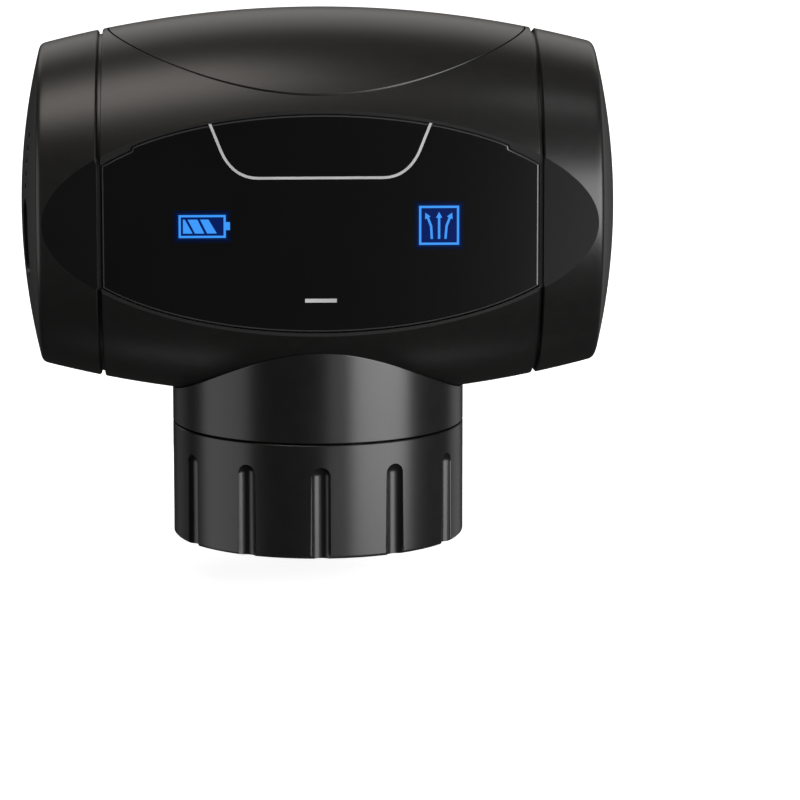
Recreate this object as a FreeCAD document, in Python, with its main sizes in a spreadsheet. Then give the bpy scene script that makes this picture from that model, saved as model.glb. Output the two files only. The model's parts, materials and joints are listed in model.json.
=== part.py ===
import FreeCAD, Part
import math
import os
import Sketcher

# Bottle-top vacuum pump: a barrel-shaped head lying across a round neck, with a ribbed ring that screws on
# under the neck and holds the seal for a wine bottle.
# Millimetres. Z is up, the display faces -Y, the barrel lies along X. The origin is on the neck's axis,
# at the level of the ring's lower face.

doc = FreeCAD.newDocument("vacuum_stopper")
sheet = doc.addObject("Spreadsheet::Sheet", "dims")
probe = doc.addObject("App::FeaturePython", "probe")
probe.addProperty("App::PropertyFloat", "reading")

SIZES = {
    # making
    "over": 1.0, "reach": 100.0, "slip": 0.1,
    # barrel
    "axis_height": 50.0, "barrel_radius": 29.0, "crown_radius": 160.0, "seam_place": 32.0, "rim_place": 41.0,
    "dome_height": 3.0, "facet_depth": 23.85, "shell_wall": 2.0, "cap_wall": 1.8, "seam_gap": 0.6,
    "seam_depth": 0.7, "ledge_wall": 3.0, "lip_length": 3.0, "lip_wall": 1.2, "lip_root": 1.5,
    "lip_relief": 10.0, "throat_ledge": 1.5,
    # display
    "panel_thick": 1.1, "panel_gap": 0.2, "panel_half_length": 38.9, "panel_half_height": 16.0,
    "step_place": 27.3, "step_depth": 0.6, "window_half_width": 24.0, "window_half_height": 7.6,
    "mask_thick": 1.7, "board_half_width": 25.0, "board_half_height": 10.5, "board_thick": 1.0,
    "icon_place": 16.7, "lamp_size": 3.0, "lamp_thick": 0.8, "touch_place": 5.6, "touch_radius": 2.0,
    "touch_wall": 0.6,
    # release plate on top
    "plate_half_length": 31.0, "plate_half_width": 22.4, "plate_gap": 0.25, "plate_thick": 1.8,
    "pocket_height": 14.2, "pin_place": 21.0, "pin_radius": 1.6, "pin_slack": 0.08, "tube_wall": 1.3,
    "tube_height": 5.9, "pin_end": 1.4,
    # neck and ring
    "neck_radius": 21.8, "neck_wall": 2.0, "saddle_gap": 0.05, "neck_floor": 2.4, "ring_height": 17.0,
    "ring_gap": 0.25, "thread_radius": 18.9, "thread_wall": 1.2, "thread_start": 8.6, "thread_slack": 0.1,
    "bore_radius": 15.9, "bore_length": 8.0, "groove_width": 2.9, "groove_depth": 1.0, "groove_top": 13.8,
    "groove_count": 12.0, "ring_round": 0.5,
    # seal
    "carrier_slack": 0.3, "carrier_wall": 0.6, "carrier_floor": 1.6, "carrier_top": 15.2, "seal_flange": 2.0,
    "seal_radius": 15.4, "seal_hole": 3.9, "nose_radius": 8.8, "nose_tip_radius": 7.4, "nose_length": 3.2,
    "stem_hole": 3.3, "cord_radius": 0.4, "cord_slack": 0.02, "cord_drop": 0.9,
    # suction stem
    "stem_radius": 2.9, "stem_bore": 1.6, "stem_tip": 11.9, "arm_height": 24.0, "arm_radius": 2.4,
    "arm_bore": 1.2, "flange_width": 3.0, "flange_thick": 1.2, "nipple_length": 6.0, "fine_bore": 0.5,
    "hose_radius": 1.5, "hose_bore": 0.9, "hose_back": -8.9, "inlet_place": 8.0, "plug_low": 1.0,
    "plug_length": 4.0,
    # motor
    "motor_back": 4.1, "motor_radius": 12.0, "motor_left": -30.0, "motor_right": -3.0, "can_wall": 1.0,
    "boss_radius": 3.1, "boss_length": 1.5, "shaft_radius": 1.0, "shaft_left": -31.2, "shaft_right": 12.0,
    "bush_radius": 2.4, "bush_slack": 0.03, "bell_thick": 3.0, "bell_slack": 0.02, "magnet_thick": 1.7,
    "magnet_gap": 2.5, "magnet_over": 1.0, "rotor_radius": 8.6, "rotor_left": -24.5, "rotor_right": -8.0,
    "pole_slot": 2.2, "pole_root": 4.0, "commutator_radius": 2.6, "commutator_gap": 0.3,
    "terminal_length": 3.0, "terminal_place": 6.0, "terminal_half": 0.8, "terminal_rise": 5.0,
    "terminal_thick": 0.5,
    # pump
    "case_left": -3.0, "case_right": 19.0, "case_half": 11.0, "case_wall": 2.0, "throw": 1.0,
    "cam_radius": 3.0, "cam_left": 5.5, "cam_right": 11.0, "hub_radius": 2.4, "hub_length": 2.0,
    "bearing_radius": 5.5, "rod_ring": 7.0, "rod_width": 3.0, "rod_middle": 8.0, "rod_radius": 1.8,
    "diaphragm_level": 39.0, "diaphragm_thick": 1.0, "diaphragm_hole": 5.4, "sheet_inset": 1.0,
    "clamp_radius": 4.0, "clamp_low": 0.6, "clamp_high": 0.6, "throat_depth": 3.0, "throat_slack": 1.8,
    "door_slack": 1.4, "plate_height": 2.5, "space_slack": 2.5, "space_depth": 0.8, "flap_place": 3.2,
    "flap_bore": 0.8, "flap_radius": 2.2, "seat_radius": 2.4, "seat_depth": 0.6, "head_height": 6.0,
    "space_half": 6.0, "space_near": 0.6, "space_far": 6.5, "space_floor": 1.5, "outlet_place": 4.5,
    "outlet_length": 4.0, "outlet_gap": 0.4,
    # screws
    "screw_radius": 1.0, "screw_head": 1.7, "screw_rise": 1.0, "screw_inset": 3.0, "screw_bite": 2.0,
    "screw_spare": 0.5, "tip_slack": 0.05, "motor_screw_place": 6.0, "small_screw": 0.7, "post_bite": 6.0,
    "leg_bite": 9.0, "deck_screw_length": 6.0, "leg_screw_length": 8.0,
    # chassis
    "tray_bottom": 33.6, "tray_thick": 1.6, "tray_left": -28.0, "tray_right": -4.5, "deck_bottom": 62.7,
    "deck_thick": 1.5, "deck_half_length": 24.5, "deck_front": -13.0, "deck_back": 17.0, "post_size": 2.0,
    "post_front": -9.4, "post_back": 17.3, "post_left": -24.5, "post_right": -7.0, "ear_half": 2.2,
    "leg_radius": 2.8, "leg_left": -11.0, "leg_side": 4.0, "pad_thick": 4.0, "pad_left": -23.0,
    "pad_right": -12.0, "pad_half": 7.0, "pad_rise": 2.5,
    # release valve
    "valve_radius": 4.0, "valve_bottom": 64.2, "valve_top": 71.5, "valve_bore": 2.6, "valve_floor": 1.0,
    "valve_lid": 1.3, "valve_nipple": 5.0, "plunger_radius": 1.4, "plunger_hole": 1.9, "plunger_disc": 2.2,
    "plunger_slack": 0.05, "disc_thick": 1.2, "disc_drop": 0.8,
    # springs
    "release_coil": 1.7, "release_wire": 0.4, "release_turns": 3.0, "plate_coil": 2.3, "plate_wire": 0.5,
    "plate_turns": 4.0, "coil_reach": 3.0, "coil_slack": 0.35,
    # electronics
    "cell_front": -18.6, "cell_back": -12.5, "cell_half_width": 22.0, "cell_half_height": 12.0,
    "foam_inset": 3.0, "main_front": -12.2, "main_thick": 1.0, "main_left": -30.0, "main_right": 24.0,
    "main_low": 13.0, "main_high": 12.0, "chip_thick": 0.9, "drive_chip_left": 20.0,
    "drive_chip_size": 3.0, "charge_chip_left": -29.0, "charge_chip_low": -9.0, "charge_chip_size": 2.5,
    "sensor_place": 12.0, "sensor_level": -7.0, "sensor_half": 3.0, "sensor_thick": 2.2,
    "sensor_nose": 0.9, "sensor_length": 4.0, "socket_height": -3.2, "socket_width": 8.9,
    "socket_thick": 3.2, "socket_length": 7.3, "socket_wall": 0.3, "socket_sink": 1.7,
    "socket_back_wall": 1.0, "tongue_half_thick": 0.35, "tongue_half_height": 3.0, "charge_gap": 2.2,
    "charge_thick": 1.0, "charge_half": 6.0, "port_height": 11.6, "port_width": 5.0, "port_front": -13.9,
    "vent_radius": 0.6, "vent_pitch": 1.85, "vent_low": 4.3, "vent_count": 5.0, "filter_thick": 3.0,
    "filter_sink": 0.2, "filter_half": 2.0, "filter_margin": 1.1,
    # exhaust hose and battery leads
    "hose_slack": 0.4, "hose_bend": 4.0, "route_left": -31.0, "route_end": -35.5, "route_back": 2.0,
    "route_rise": 9.0, "route_side": -2.0, "route_level": 8.0, "route_face": 1.3, "lead_radius": 0.6,
    "lead_bore": 0.3, "lead_level": 7.0, "lead_pitch": 2.0, "lead_reach": 2.0, "lead_bend": 1.3,
}
for row, (alias, number) in enumerate(SIZES.items(), start=1):
    sheet.set("A%d" % row, alias)
    sheet.set("B%d" % row, str(number))
    sheet.setAlias("B%d" % row, alias)
doc.recompute()

FRONT = "-dims.facet_depth"
AXIS = "dims.axis_height"


def value(formula):
    """The number that a formula over the sheet gives now."""
    probe.setExpression("reading", formula)
    probe.recompute()
    return probe.reading


def place(item, x="0", y="0", z="0"):
    """Bind where an object stands."""
    item.setExpression("Placement.Base.x", x)
    item.setExpression("Placement.Base.y", y)
    item.setExpression("Placement.Base.z", z)
    return item


def box(name, x, y, z):
    """A block between two bounds along each axis."""
    item = doc.addObject("Part::Box", name)
    item.setExpression("Length", "(%s) - (%s)" % (x[1], x[0]))
    item.setExpression("Width", "(%s) - (%s)" % (y[1], y[0]))
    item.setExpression("Height", "(%s) - (%s)" % (z[1], z[0]))
    return place(item, x[0], y[0], z[0])


TURN = {
    "x": FreeCAD.Rotation(FreeCAD.Vector(0, 1, 0), 90),
    "y": FreeCAD.Rotation(FreeCAD.Vector(1, 0, 0), -90),
    "z": FreeCAD.Rotation(),
}


def rod(name, axis, radius, low, high, centre):
    """A cylinder along an axis, from low to high, with its centre given along the two other axes."""
    item = doc.addObject("Part::Cylinder", name)
    item.Placement = FreeCAD.Placement(FreeCAD.Vector(), TURN[axis])
    item.setExpression("Radius", radius)
    item.setExpression("Height", "(%s) - (%s)" % (high, low))
    where = list(centre)
    where.insert("xyz".index(axis), low)
    return place(item, *where)


def join(name, *pieces):
    item = doc.addObject("Part::MultiFuse", name)
    item.Shapes = list(pieces)
    return item


def shared(name, *pieces):
    item = doc.addObject("Part::MultiCommon", name)
    item.Shapes = list(pieces)
    return item


def cut(name, base, *tools):
    """The base with every tool taken away."""
    item = doc.addObject("Part::Cut", name)
    item.Base = base
    item.Tool = tools[0] if len(tools) == 1 else join(name + "_tools", *tools)
    return item


def tube(name, axis, outer, inner, low, high, centre):
    solid = rod(name + "_outer", axis, outer, low, high, centre)
    hole = rod(name + "_hole", axis, inner, "(%s) - dims.over" % low, "(%s) + dims.over" % high, centre)
    return cut(name, solid, hole)


def group(name, *pieces):
    """Separate like solids in one node."""
    item = doc.addObject("Part::Compound", name)
    item.Links = list(pieces)
    return item


def plane_of(body, role):
    return next(item for item in body.Origin.OriginFeatures if item.Role == role)


def turned(name, corners, upright=False):
    """A body turned about X, or about Z if upright, from corners (along, out).

    A third item in a corner is the radius of the arc that leads to the next corner, bulging outwards.
    """
    body = doc.addObject("PartDesign::Body", name)
    sketch = body.newObject("Sketcher::SketchObject", name + "_profile")
    sketch.AttachmentSupport = [(plane_of(body, "XZ_Plane" if upright else "XY_Plane"), "")]
    sketch.MapMode = "FlatFace"
    points = [FreeCAD.Vector(value(corner[0]), value(corner[1]), 0) for corner in corners]
    if upright:
        points = [FreeCAD.Vector(point.y, point.x, 0) for point in points]
    starts = []
    for index, corner in enumerate(corners):
        start = points[index]
        end = points[(index + 1) % len(points)]
        if len(corner) == 2:
            sketch.addGeometry(Part.LineSegment(start, end), False)
        else:
            radius = value(corner[2])
            half = (end - start).Length / 2
            side = FreeCAD.Vector(start.y - end.y, end.x - start.x, 0).normalize()
            top = (start + end) / 2 + side * (radius - math.sqrt(radius ** 2 - half ** 2))
            sketch.addGeometry(Part.Arc(start, top, end), False)
            number = sketch.addConstraint(Sketcher.Constraint("Radius", index, radius))
            sketch.renameConstraint(number, "arc%d" % index)
            sketch.setExpression("Constraints.arc%d" % index, corner[2])
        first = (sketch.getPoint(index, 1) - start).Length < (sketch.getPoint(index, 2) - start).Length
        starts.append(1 if first else 2)
    for index, corner in enumerate(corners):
        before = (index - 1) % len(corners)
        sketch.addConstraint(
            Sketcher.Constraint("Coincident", before, 3 - starts[before], index, starts[index]))
        for kind, word, formula, length in (
            ("DistanceX", "across", corner[1] if upright else corner[0], points[index].x),
            ("DistanceY", "up", corner[0] if upright else corner[1], points[index].y),
        ):
            number = sketch.addConstraint(Sketcher.Constraint(kind, -1, 1, index, starts[index], length))
            sketch.renameConstraint(number, "%s%d" % (word, index))
            sketch.setExpression("Constraints.%s%d" % (word, index), formula)
    turn = body.newObject("PartDesign::Revolution", name + "_turn")
    turn.Profile = sketch
    turn.ReferenceAxis = (sketch, ["V_Axis" if upright else "H_Axis"])
    turn.Angle = 360
    body.Tip = turn
    return body


def crown(along, inset="0"):
    """The barrel's radius at a distance along its axis, less an inset."""
    arc = "(dims.crown_radius - (%s))" % inset
    return "(dims.barrel_radius - dims.crown_radius + sqrt(%s ^ 2 - (%s) ^ 2))" % (arc, along)


def barrel(name, low, high, inset="0"):
    """A length of the barrel's form, lying on its axis."""
    body = turned(name, [
        (low, "0"),
        (low, crown(low, inset), "dims.crown_radius - (%s)" % inset),
        (high, crown(high, inset)),
        (high, "0"),
    ])
    return place(body, z=AXIS)


def capped_barrel(name, low, inset):
    """The barrel's form from low to its right-hand end, with the rim and the domed face."""
    rim = "(dims.rim_place - (%s))" % inset
    radius = crown(rim, inset)
    body = turned(name, [
        (low, "0"),
        (low, crown(low, inset), "dims.crown_radius - (%s)" % inset),
        (rim, "%s" % radius, "(%s ^ 2 + dims.dome_height ^ 2) / (2 * dims.dome_height)" % radius),
        ("%s + dims.dome_height" % rim, "0"),
    ])
    return place(body, z=AXIS)


# Casing -------------------------------------------------------------------------------------------------

def front_block(name, depth):
    """Everything in front of a plane a depth behind the facet."""
    return box(name, ("-dims.reach", "dims.reach"), ("-dims.reach", "%s + (%s)" % (FRONT, depth)),
               ("0", "dims.reach"))


def main_shell():
    half = "dims.seam_place - dims.seam_gap / 2"
    outer = barrel("main_shell_outer", "-(%s)" % half, half)
    cavity = cut("main_shell_cavity", barrel("main_shell_inner", "-(%s) - dims.over" % half,
                                             "%s + dims.over" % half, "dims.shell_wall"),
                 front_block("main_shell_ledge", "dims.ledge_wall"))
    recess = panel_form("panel_recess", "0", half + " + dims.over")
    window = box("display_window", ("-dims.window_half_width", "dims.window_half_width"),
                 (FRONT, "%s + dims.ledge_wall + dims.over" % FRONT),
                 ("%s - dims.window_half_height" % AXIS, "%s + dims.window_half_height" % AXIS))
    opening = oval("plate_opening", "0", "%s + dims.pocket_height" % AXIS)
    throat = rod("main_shell_throat", "z", "dims.neck_radius - dims.neck_wall - dims.throat_ledge", "0", AXIS,
                 ("0", "0"))
    facet = front_block("main_shell_facet", "0")
    return cut("main_shell", outer, cavity, facet, recess, window, opening, throat)


def oval_prism(name, length, width, plane_z, direction, depth):
    """A prism with an oval outline, from its two half axes."""
    line = doc.addObject("Part::Ellipse", name + "_line")
    line.setExpression("MajorRadius", length)
    line.setExpression("MinorRadius", width)
    if direction.y:
        line.Placement = FreeCAD.Placement(FreeCAD.Vector(), FreeCAD.Rotation(FreeCAD.Vector(1, 0, 0), 90))
        line.setExpression("Placement.Base.y", "%s - dims.over" % FRONT)
    line.setExpression("Placement.Base.z", plane_z)
    prism = doc.addObject("Part::Extrusion", name)
    prism.Base = line
    prism.DirMode = "Custom"
    prism.Dir = direction
    prism.setExpression("LengthFwd", depth)
    prism.Solid = True
    return prism


def oval(name, inset, bottom):
    """An upright prism with the release plate's oval outline."""
    return oval_prism(name, "dims.plate_half_length - (%s)" % inset, "dims.plate_half_width - (%s)" % inset,
                      bottom, FreeCAD.Vector(0, 0, 1), AXIS)


def panel_form(name, inset, half):
    """The display panel's form: an oval cut off square at the seams, stepped in at its two upper corners."""
    depth = "dims.panel_thick + dims.over"
    forward = FreeCAD.Vector(0, 1, 0)
    whole, low = [
        oval_prism(name + word, "dims.panel_half_length - (%s) - %s" % (inset, step),
                   "dims.panel_half_height - (%s) - %s" % (inset, step), AXIS, forward, depth)
        for word, step in (("_oval", "0"), ("_low_oval", "dims.step_depth"))]
    deep = (FRONT, "%s + dims.panel_thick" % FRONT)
    step_edge = "dims.step_place - (%s)" % inset
    middle = box(name + "_middle", ("-(%s)" % step_edge, step_edge), deep, ("0", "dims.reach"))
    lower = box(name + "_lower", ("-(%s)" % half, half), deep, ("0", AXIS))
    ends = box(name + "_ends", ("-(%s)" % half, half), deep, ("0", "dims.reach"))
    return join(name, shared(name + "_middle_part", whole, middle), shared(name + "_lower_part", whole, lower),
                shared(name + "_end_part", low, ends))


def end_cap(name, mirrored):
    start = "dims.seam_place + dims.seam_gap / 2"
    core = "dims.seam_place - dims.seam_gap / 2"
    outer = cut(name + "_outer", capped_barrel(name + "_form", start, "0"), front_block(name + "_facet", "0"))
    inner = cut(name + "_step", capped_barrel(name + "_core", core, "dims.seam_depth"),
                front_block(name + "_step_facet", "dims.seam_depth"))
    cavity = cut(name + "_cavity", capped_barrel(name + "_inner", "%s - dims.over" % core, "dims.cap_wall"),
                 front_block(name + "_front_wall", "dims.cap_wall"))
    lip_radius = "(%s - dims.slip)" % crown(core, "dims.shell_wall")
    lip_bore = "%s - dims.lip_wall" % lip_radius
    root = "%s + dims.lip_root" % core
    ring = tube(name + "_lip_ring", "x", lip_radius, lip_bore, "%s - dims.lip_length" % core, root, ("0", AXIS))
    shoulder = tube(name + "_shoulder", "x", "%s - dims.cap_wall / 2" % crown(root), lip_bore, core, root,
                    ("0", AXIS))
    lip = cut(name + "_lip", join(name + "_lip_blank", ring, shoulder),
              front_block(name + "_lip_front", "dims.ledge_wall + dims.slip"),
              box(name + "_lip_relief", ("0", "dims.reach"), ("-dims.lip_relief", "dims.lip_relief"),
                  (AXIS, "dims.reach")))
    wall = cut(name + "_wall", join(name + "_skin", outer, inner), cavity)
    whole = join(name + "_right", wall, lip)
    if not mirrored:
        return whole
    flipped = doc.addObject("Part::Mirroring", name + "_left")
    flipped.Source = whole
    flipped.Normal = FreeCAD.Vector(1, 0, 0)
    return flipped


def port_and_vents():
    """The charging slot and the row of exhaust holes through the left end."""
    straight = "(dims.port_height - dims.port_width) / 2"
    level = "%s + dims.socket_height" % AXIS
    inner = "-dims.rim_place + dims.cap_wall + dims.over"
    slot = join(
        "port_slot",
        box("port_slot_middle", ("-dims.reach", inner),
            ("dims.port_front - dims.port_width / 2", "dims.port_front + dims.port_width / 2"),
            ("%s - %s" % (level, straight), "%s + %s" % (level, straight))),
        *[rod("port_slot_end%d" % side, "x", "dims.port_width / 2", "-dims.reach", inner,
              ("dims.port_front", "%s + %d * %s" % (level, side, straight))) for side in (-1, 1)],
    )
    vents = [rod("vent_hole%d" % index, "x", "dims.vent_radius", "-dims.reach", inner,
                 ("dims.port_front", "%s + dims.vent_low + %d * dims.vent_pitch" % (AXIS, index)))
             for index in range(int(SIZES["vent_count"]))]
    return [slot] + vents


left_blank = end_cap("left_cap", True)
nodes = {
    "main_shell": main_shell(),
    "left_end_cap": cut("left_end_cap", left_blank, *port_and_vents()),
    "right_end_cap": end_cap("right_cap", False),
}

# Display ------------------------------------------------------------------------------------------------

nodes["display_panel"] = panel_form("display_panel", "dims.panel_gap",
                                    "dims.seam_place - dims.seam_gap / 2 - dims.panel_gap")
MASK_FRONT = "(%s + dims.panel_thick)" % FRONT
MASK_BACK = "(%s + dims.mask_thick)" % MASK_FRONT
BOARD_FRONT = "(%s + dims.ledge_wall)" % FRONT
BOARD_BACK = "(%s + dims.board_thick)" % BOARD_FRONT
mask_holes = [box("mask_hole%d" % side,
                  ("%d * dims.icon_place - dims.lamp_size" % side,
                   "%d * dims.icon_place + dims.lamp_size" % side),
                  ("%s - dims.over" % MASK_FRONT, "%s + dims.over" % MASK_BACK),
                  ("%s - dims.lamp_size" % AXIS, "%s + dims.lamp_size" % AXIS)) for side in (-1, 1)]
touch_holes = [rod("touch_hole%d" % side, "y", "dims.touch_radius + dims.slip", "%s - dims.over" % MASK_FRONT,
                   "%s + dims.over" % MASK_BACK, ("%d * dims.touch_place" % side, AXIS)) for side in (-1, 1)]
nodes["light_mask"] = cut(
    "light_mask",
    box("light_mask_block", ("-dims.window_half_width + dims.slip", "dims.window_half_width - dims.slip"),
        (MASK_FRONT, MASK_BACK),
        ("%s - dims.window_half_height + dims.slip" % AXIS, "%s + dims.window_half_height - dims.slip" % AXIS)),
    *mask_holes, *touch_holes,
)
nodes["display_board"] = box(
    "display_board", ("-dims.board_half_width", "dims.board_half_width"), (BOARD_FRONT, BOARD_BACK),
    ("%s - dims.board_half_height" % AXIS, "%s + dims.board_half_height" % AXIS))
nodes["display_lamps"] = group("display_lamps", *[
    box("lamp%d" % side,
        ("%d * dims.icon_place - dims.lamp_size / 2" % side,
         "%d * dims.icon_place + dims.lamp_size / 2" % side),
        ("%s - dims.lamp_thick" % BOARD_FRONT, BOARD_FRONT),
        ("%s - dims.lamp_size / 2" % AXIS, "%s + dims.lamp_size / 2" % AXIS)) for side in (-1, 1)])
nodes["touch_springs"] = group("touch_springs", *[
    tube("touch_spring%d" % side, "y", "dims.touch_radius", "dims.touch_radius - dims.touch_wall", MASK_FRONT,
         BOARD_FRONT, ("%d * dims.touch_place" % side, AXIS)) for side in (-1, 1)])

# Release plate on top -----------------------------------------------------------------------------------

DECK_TOP = "(dims.deck_bottom + dims.deck_thick)"
plate_skin = cut("plate_skin", barrel("plate_form", "-dims.plate_half_length", "dims.plate_half_length"),
                 barrel("plate_inside", "-dims.plate_half_length - dims.over",
                        "dims.plate_half_length + dims.over", "dims.plate_thick"))
plate = shared("plate_shell", plate_skin, oval("plate_outline", "dims.plate_gap", AXIS))
pins = [rod("plate_pin%d" % side, "z", "dims.pin_radius", "%s + dims.pin_end" % DECK_TOP,
            "%s + %s - dims.plate_thick / 2" % (AXIS, crown("dims.pin_place")),
            ("%d * dims.pin_place" % side, "0")) for side in (-1, 1)]
nodes["release_plate"] = join("release_plate", plate, *pins)

# Neck, ring and seal ------------------------------------------------------------------------------------

NECK_BOTTOM = "(dims.ring_height + dims.ring_gap)"
FLOOR_TOP = "(%s + dims.neck_floor)" % NECK_BOTTOM
neck_skin = cut(
    "neck_skin",
    tube("neck_tube", "z", "dims.neck_radius", "dims.neck_radius - dims.neck_wall", NECK_BOTTOM, AXIS,
         ("0", "0")),
    barrel("neck_saddle", "-dims.neck_radius - dims.over", "dims.neck_radius + dims.over",
           "-dims.saddle_gap"))
neck_floor = tube("neck_floor", "z", "dims.neck_radius - dims.neck_wall / 2",
                  "dims.stem_radius + dims.slip", NECK_BOTTOM, FLOOR_TOP, ("0", "0"))
neck_thread = tube("neck_thread", "z", "dims.thread_radius", "dims.thread_radius - dims.thread_wall",
                   "dims.thread_start", "%s + dims.neck_floor / 2" % NECK_BOTTOM, ("0", "0"))
leg_holes = [rod("leg_hole%d" % side, "z", "dims.small_screw + dims.slip", "0", "dims.tray_bottom",
                 ("dims.leg_left", "%d * dims.leg_side" % side)) for side in (-1, 1)]
nodes["neck_sleeve"] = cut("neck_sleeve", join("neck_blank", neck_skin, neck_floor, neck_thread), *leg_holes)


def grip_ring():
    """The ribbed ring: a turned body with flutes open at the lower edge."""
    shoulder = "dims.thread_radius + dims.thread_slack"
    body = turned("grip_ring", [
        ("0", "dims.bore_radius"),
        ("0", "dims.neck_radius - dims.ring_round"),
        ("dims.ring_round", "dims.neck_radius"),
        ("dims.ring_height - dims.ring_round / 2", "dims.neck_radius"),
        ("dims.ring_height", "dims.neck_radius - dims.ring_round / 2"),
        ("dims.ring_height", shoulder),
        ("dims.bore_length", shoulder),
        ("dims.bore_length", "dims.bore_radius"),
    ], upright=True)
    flute = body.newObject("Sketcher::SketchObject", "flute_outline")
    flute.AttachmentSupport = [(plane_of(body, "XZ_Plane"), "")]
    flute.MapMode = "FlatFace"
    radius_formula = "(dims.groove_width ^ 2 / 4 + dims.groove_depth ^ 2) / (2 * dims.groove_depth)"
    middle_formula = "dims.neck_radius - dims.groove_depth + %s" % radius_formula
    radius = value(radius_formula)
    middle = value(middle_formula)
    top = SIZES["groove_top"]
    foot = -SIZES["over"]
    corner = [FreeCAD.Vector(*pair, 0) for pair in (
        (middle, foot), (middle, top), (middle - radius, top - radius), (middle - radius, foot))]
    bulge = FreeCAD.Vector(middle, top - radius, 0) + FreeCAD.Vector(-1, 1, 0).normalize() * radius
    flute.addGeometry(Part.LineSegment(corner[0], corner[1]), False)
    flute.addGeometry(Part.LineSegment(corner[2], corner[3]), False)
    flute.addGeometry(Part.LineSegment(corner[3], corner[0]), False)
    flute.addGeometry(Part.Arc(corner[1], bulge, corner[2]), False)
    flute.addGeometry(Part.LineSegment(corner[0], corner[1]), True)
    arc_start = 1 if (flute.getPoint(3, 1) - corner[1]).Length < radius / 2 else 2
    for pair in ((0, 1, 2, 2), (0, 2, 3, arc_start), (1, 2, 2, 1), (4, 1, 0, 1), (4, 2, 0, 2)):
        flute.addConstraint(Sketcher.Constraint("Coincident", *pair))
    flute.addConstraint(Sketcher.Constraint("Tangent", 3, 3 - arc_start, 1, 1))
    flute.addConstraint(Sketcher.Constraint("PointOnObject", 3, 3, 0))
    flute.addConstraint(Sketcher.Constraint("Vertical", 0))
    flute.addConstraint(Sketcher.Constraint("Vertical", 1))
    flute.addConstraint(Sketcher.Constraint("Horizontal", 2))
    for name, formula, kind, where, length in (
        ("flute_radius", radius_formula, "Radius", (3,), radius),
        ("flute_middle", middle_formula, "DistanceX", (-1, 1, 0, 1), middle),
        ("flute_top", "dims.groove_top", "DistanceY", (-1, 1, 0, 2), top),
        ("flute_foot", "-dims.over", "DistanceY", (-1, 1, 0, 1), foot),
    ):
        number = flute.addConstraint(Sketcher.Constraint(kind, *where, length))
        flute.renameConstraint(number, name)
        flute.setExpression("Constraints." + name, formula)
    doc.recompute()
    whole = body.Shape.Volume
    groove = body.newObject("PartDesign::Groove", "flute")
    groove.Profile = flute
    groove.ReferenceAxis = (flute, ["Axis0"])
    groove.Angle = 360
    doc.recompute()
    if not body.Shape.Volume < whole:
        raise SystemExit("the flute cuts nothing")
    pattern = body.newObject("PartDesign::PolarPattern", "flutes")
    pattern.Originals = [groove]
    pattern.Axis = (plane_of(body, "Z_Axis"), [""])
    pattern.Angle = 360
    pattern.setExpression("Occurrences", "dims.groove_count")
    body.Tip = pattern
    return body


nodes["grip_ring"] = grip_ring()
CARRIER_RADIUS = "(dims.thread_radius - dims.thread_wall - dims.carrier_slack)"
FLOOR_UNDER = "(dims.carrier_top - dims.carrier_floor)"
nodes["seal_carrier"] = turned("seal_carrier", [
    ("dims.bore_length", "%s - dims.carrier_wall" % CARRIER_RADIUS),
    ("dims.bore_length", CARRIER_RADIUS),
    ("dims.carrier_top", CARRIER_RADIUS),
    ("dims.carrier_top", "dims.stem_hole"),
    (FLOOR_UNDER, "dims.stem_hole"),
    (FLOOR_UNDER, "%s - dims.carrier_wall" % CARRIER_RADIUS),
], upright=True)
SEAL_FACE = "(%s - dims.seal_flange)" % FLOOR_UNDER
nodes["bottle_seal"] = turned("bottle_seal", [
    ("%s - dims.nose_length" % SEAL_FACE, "dims.seal_hole"),
    ("%s - dims.nose_length" % SEAL_FACE, "dims.nose_tip_radius"),
    (SEAL_FACE, "dims.nose_radius"),
    (SEAL_FACE, "dims.seal_radius"),
    (FLOOR_UNDER, "dims.seal_radius"),
    (FLOOR_UNDER, "dims.seal_hole"),
], upright=True)
stem_ring = doc.addObject("Part::Torus", "stem_o_ring")
stem_ring.setExpression("Radius1", "dims.stem_radius + dims.cord_slack + dims.cord_radius")
stem_ring.setExpression("Radius2", "dims.cord_radius")
place(stem_ring, z="%s - dims.cord_drop" % FLOOR_UNDER)
nodes["stem_o_ring"] = stem_ring

# Suction stem and its hoses -----------------------------------------------------------------------------

HEAD_BOTTOM = "(dims.diaphragm_level - dims.diaphragm_thick - dims.plate_height - dims.head_height)"
stem_solid = join(
    "stem_solid",
    rod("stem_pipe", "z", "dims.stem_radius", "dims.stem_tip", "dims.arm_height + dims.arm_radius", ("0", "0")),
    rod("stem_arm", "x", "dims.arm_radius", "0", "dims.inlet_place + dims.arm_radius",
        ("0", "dims.arm_height")),
    rod("stem_inlet", "z", "dims.arm_radius", "dims.arm_height", HEAD_BOTTOM, ("dims.inlet_place", "0")),
    rod("stem_back_arm", "y", "dims.arm_radius", "dims.hose_back - dims.arm_radius", "0",
        ("0", "dims.arm_height")),
    rod("stem_nipple", "z", "dims.hose_bore", "dims.arm_height", "dims.arm_height + dims.nipple_length",
        ("0", "dims.hose_back")),
    rod("stem_flange", "z", "dims.stem_radius + dims.flange_width", FLOOR_TOP,
        "%s + dims.flange_thick" % FLOOR_TOP, ("0", "0")),
)
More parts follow.
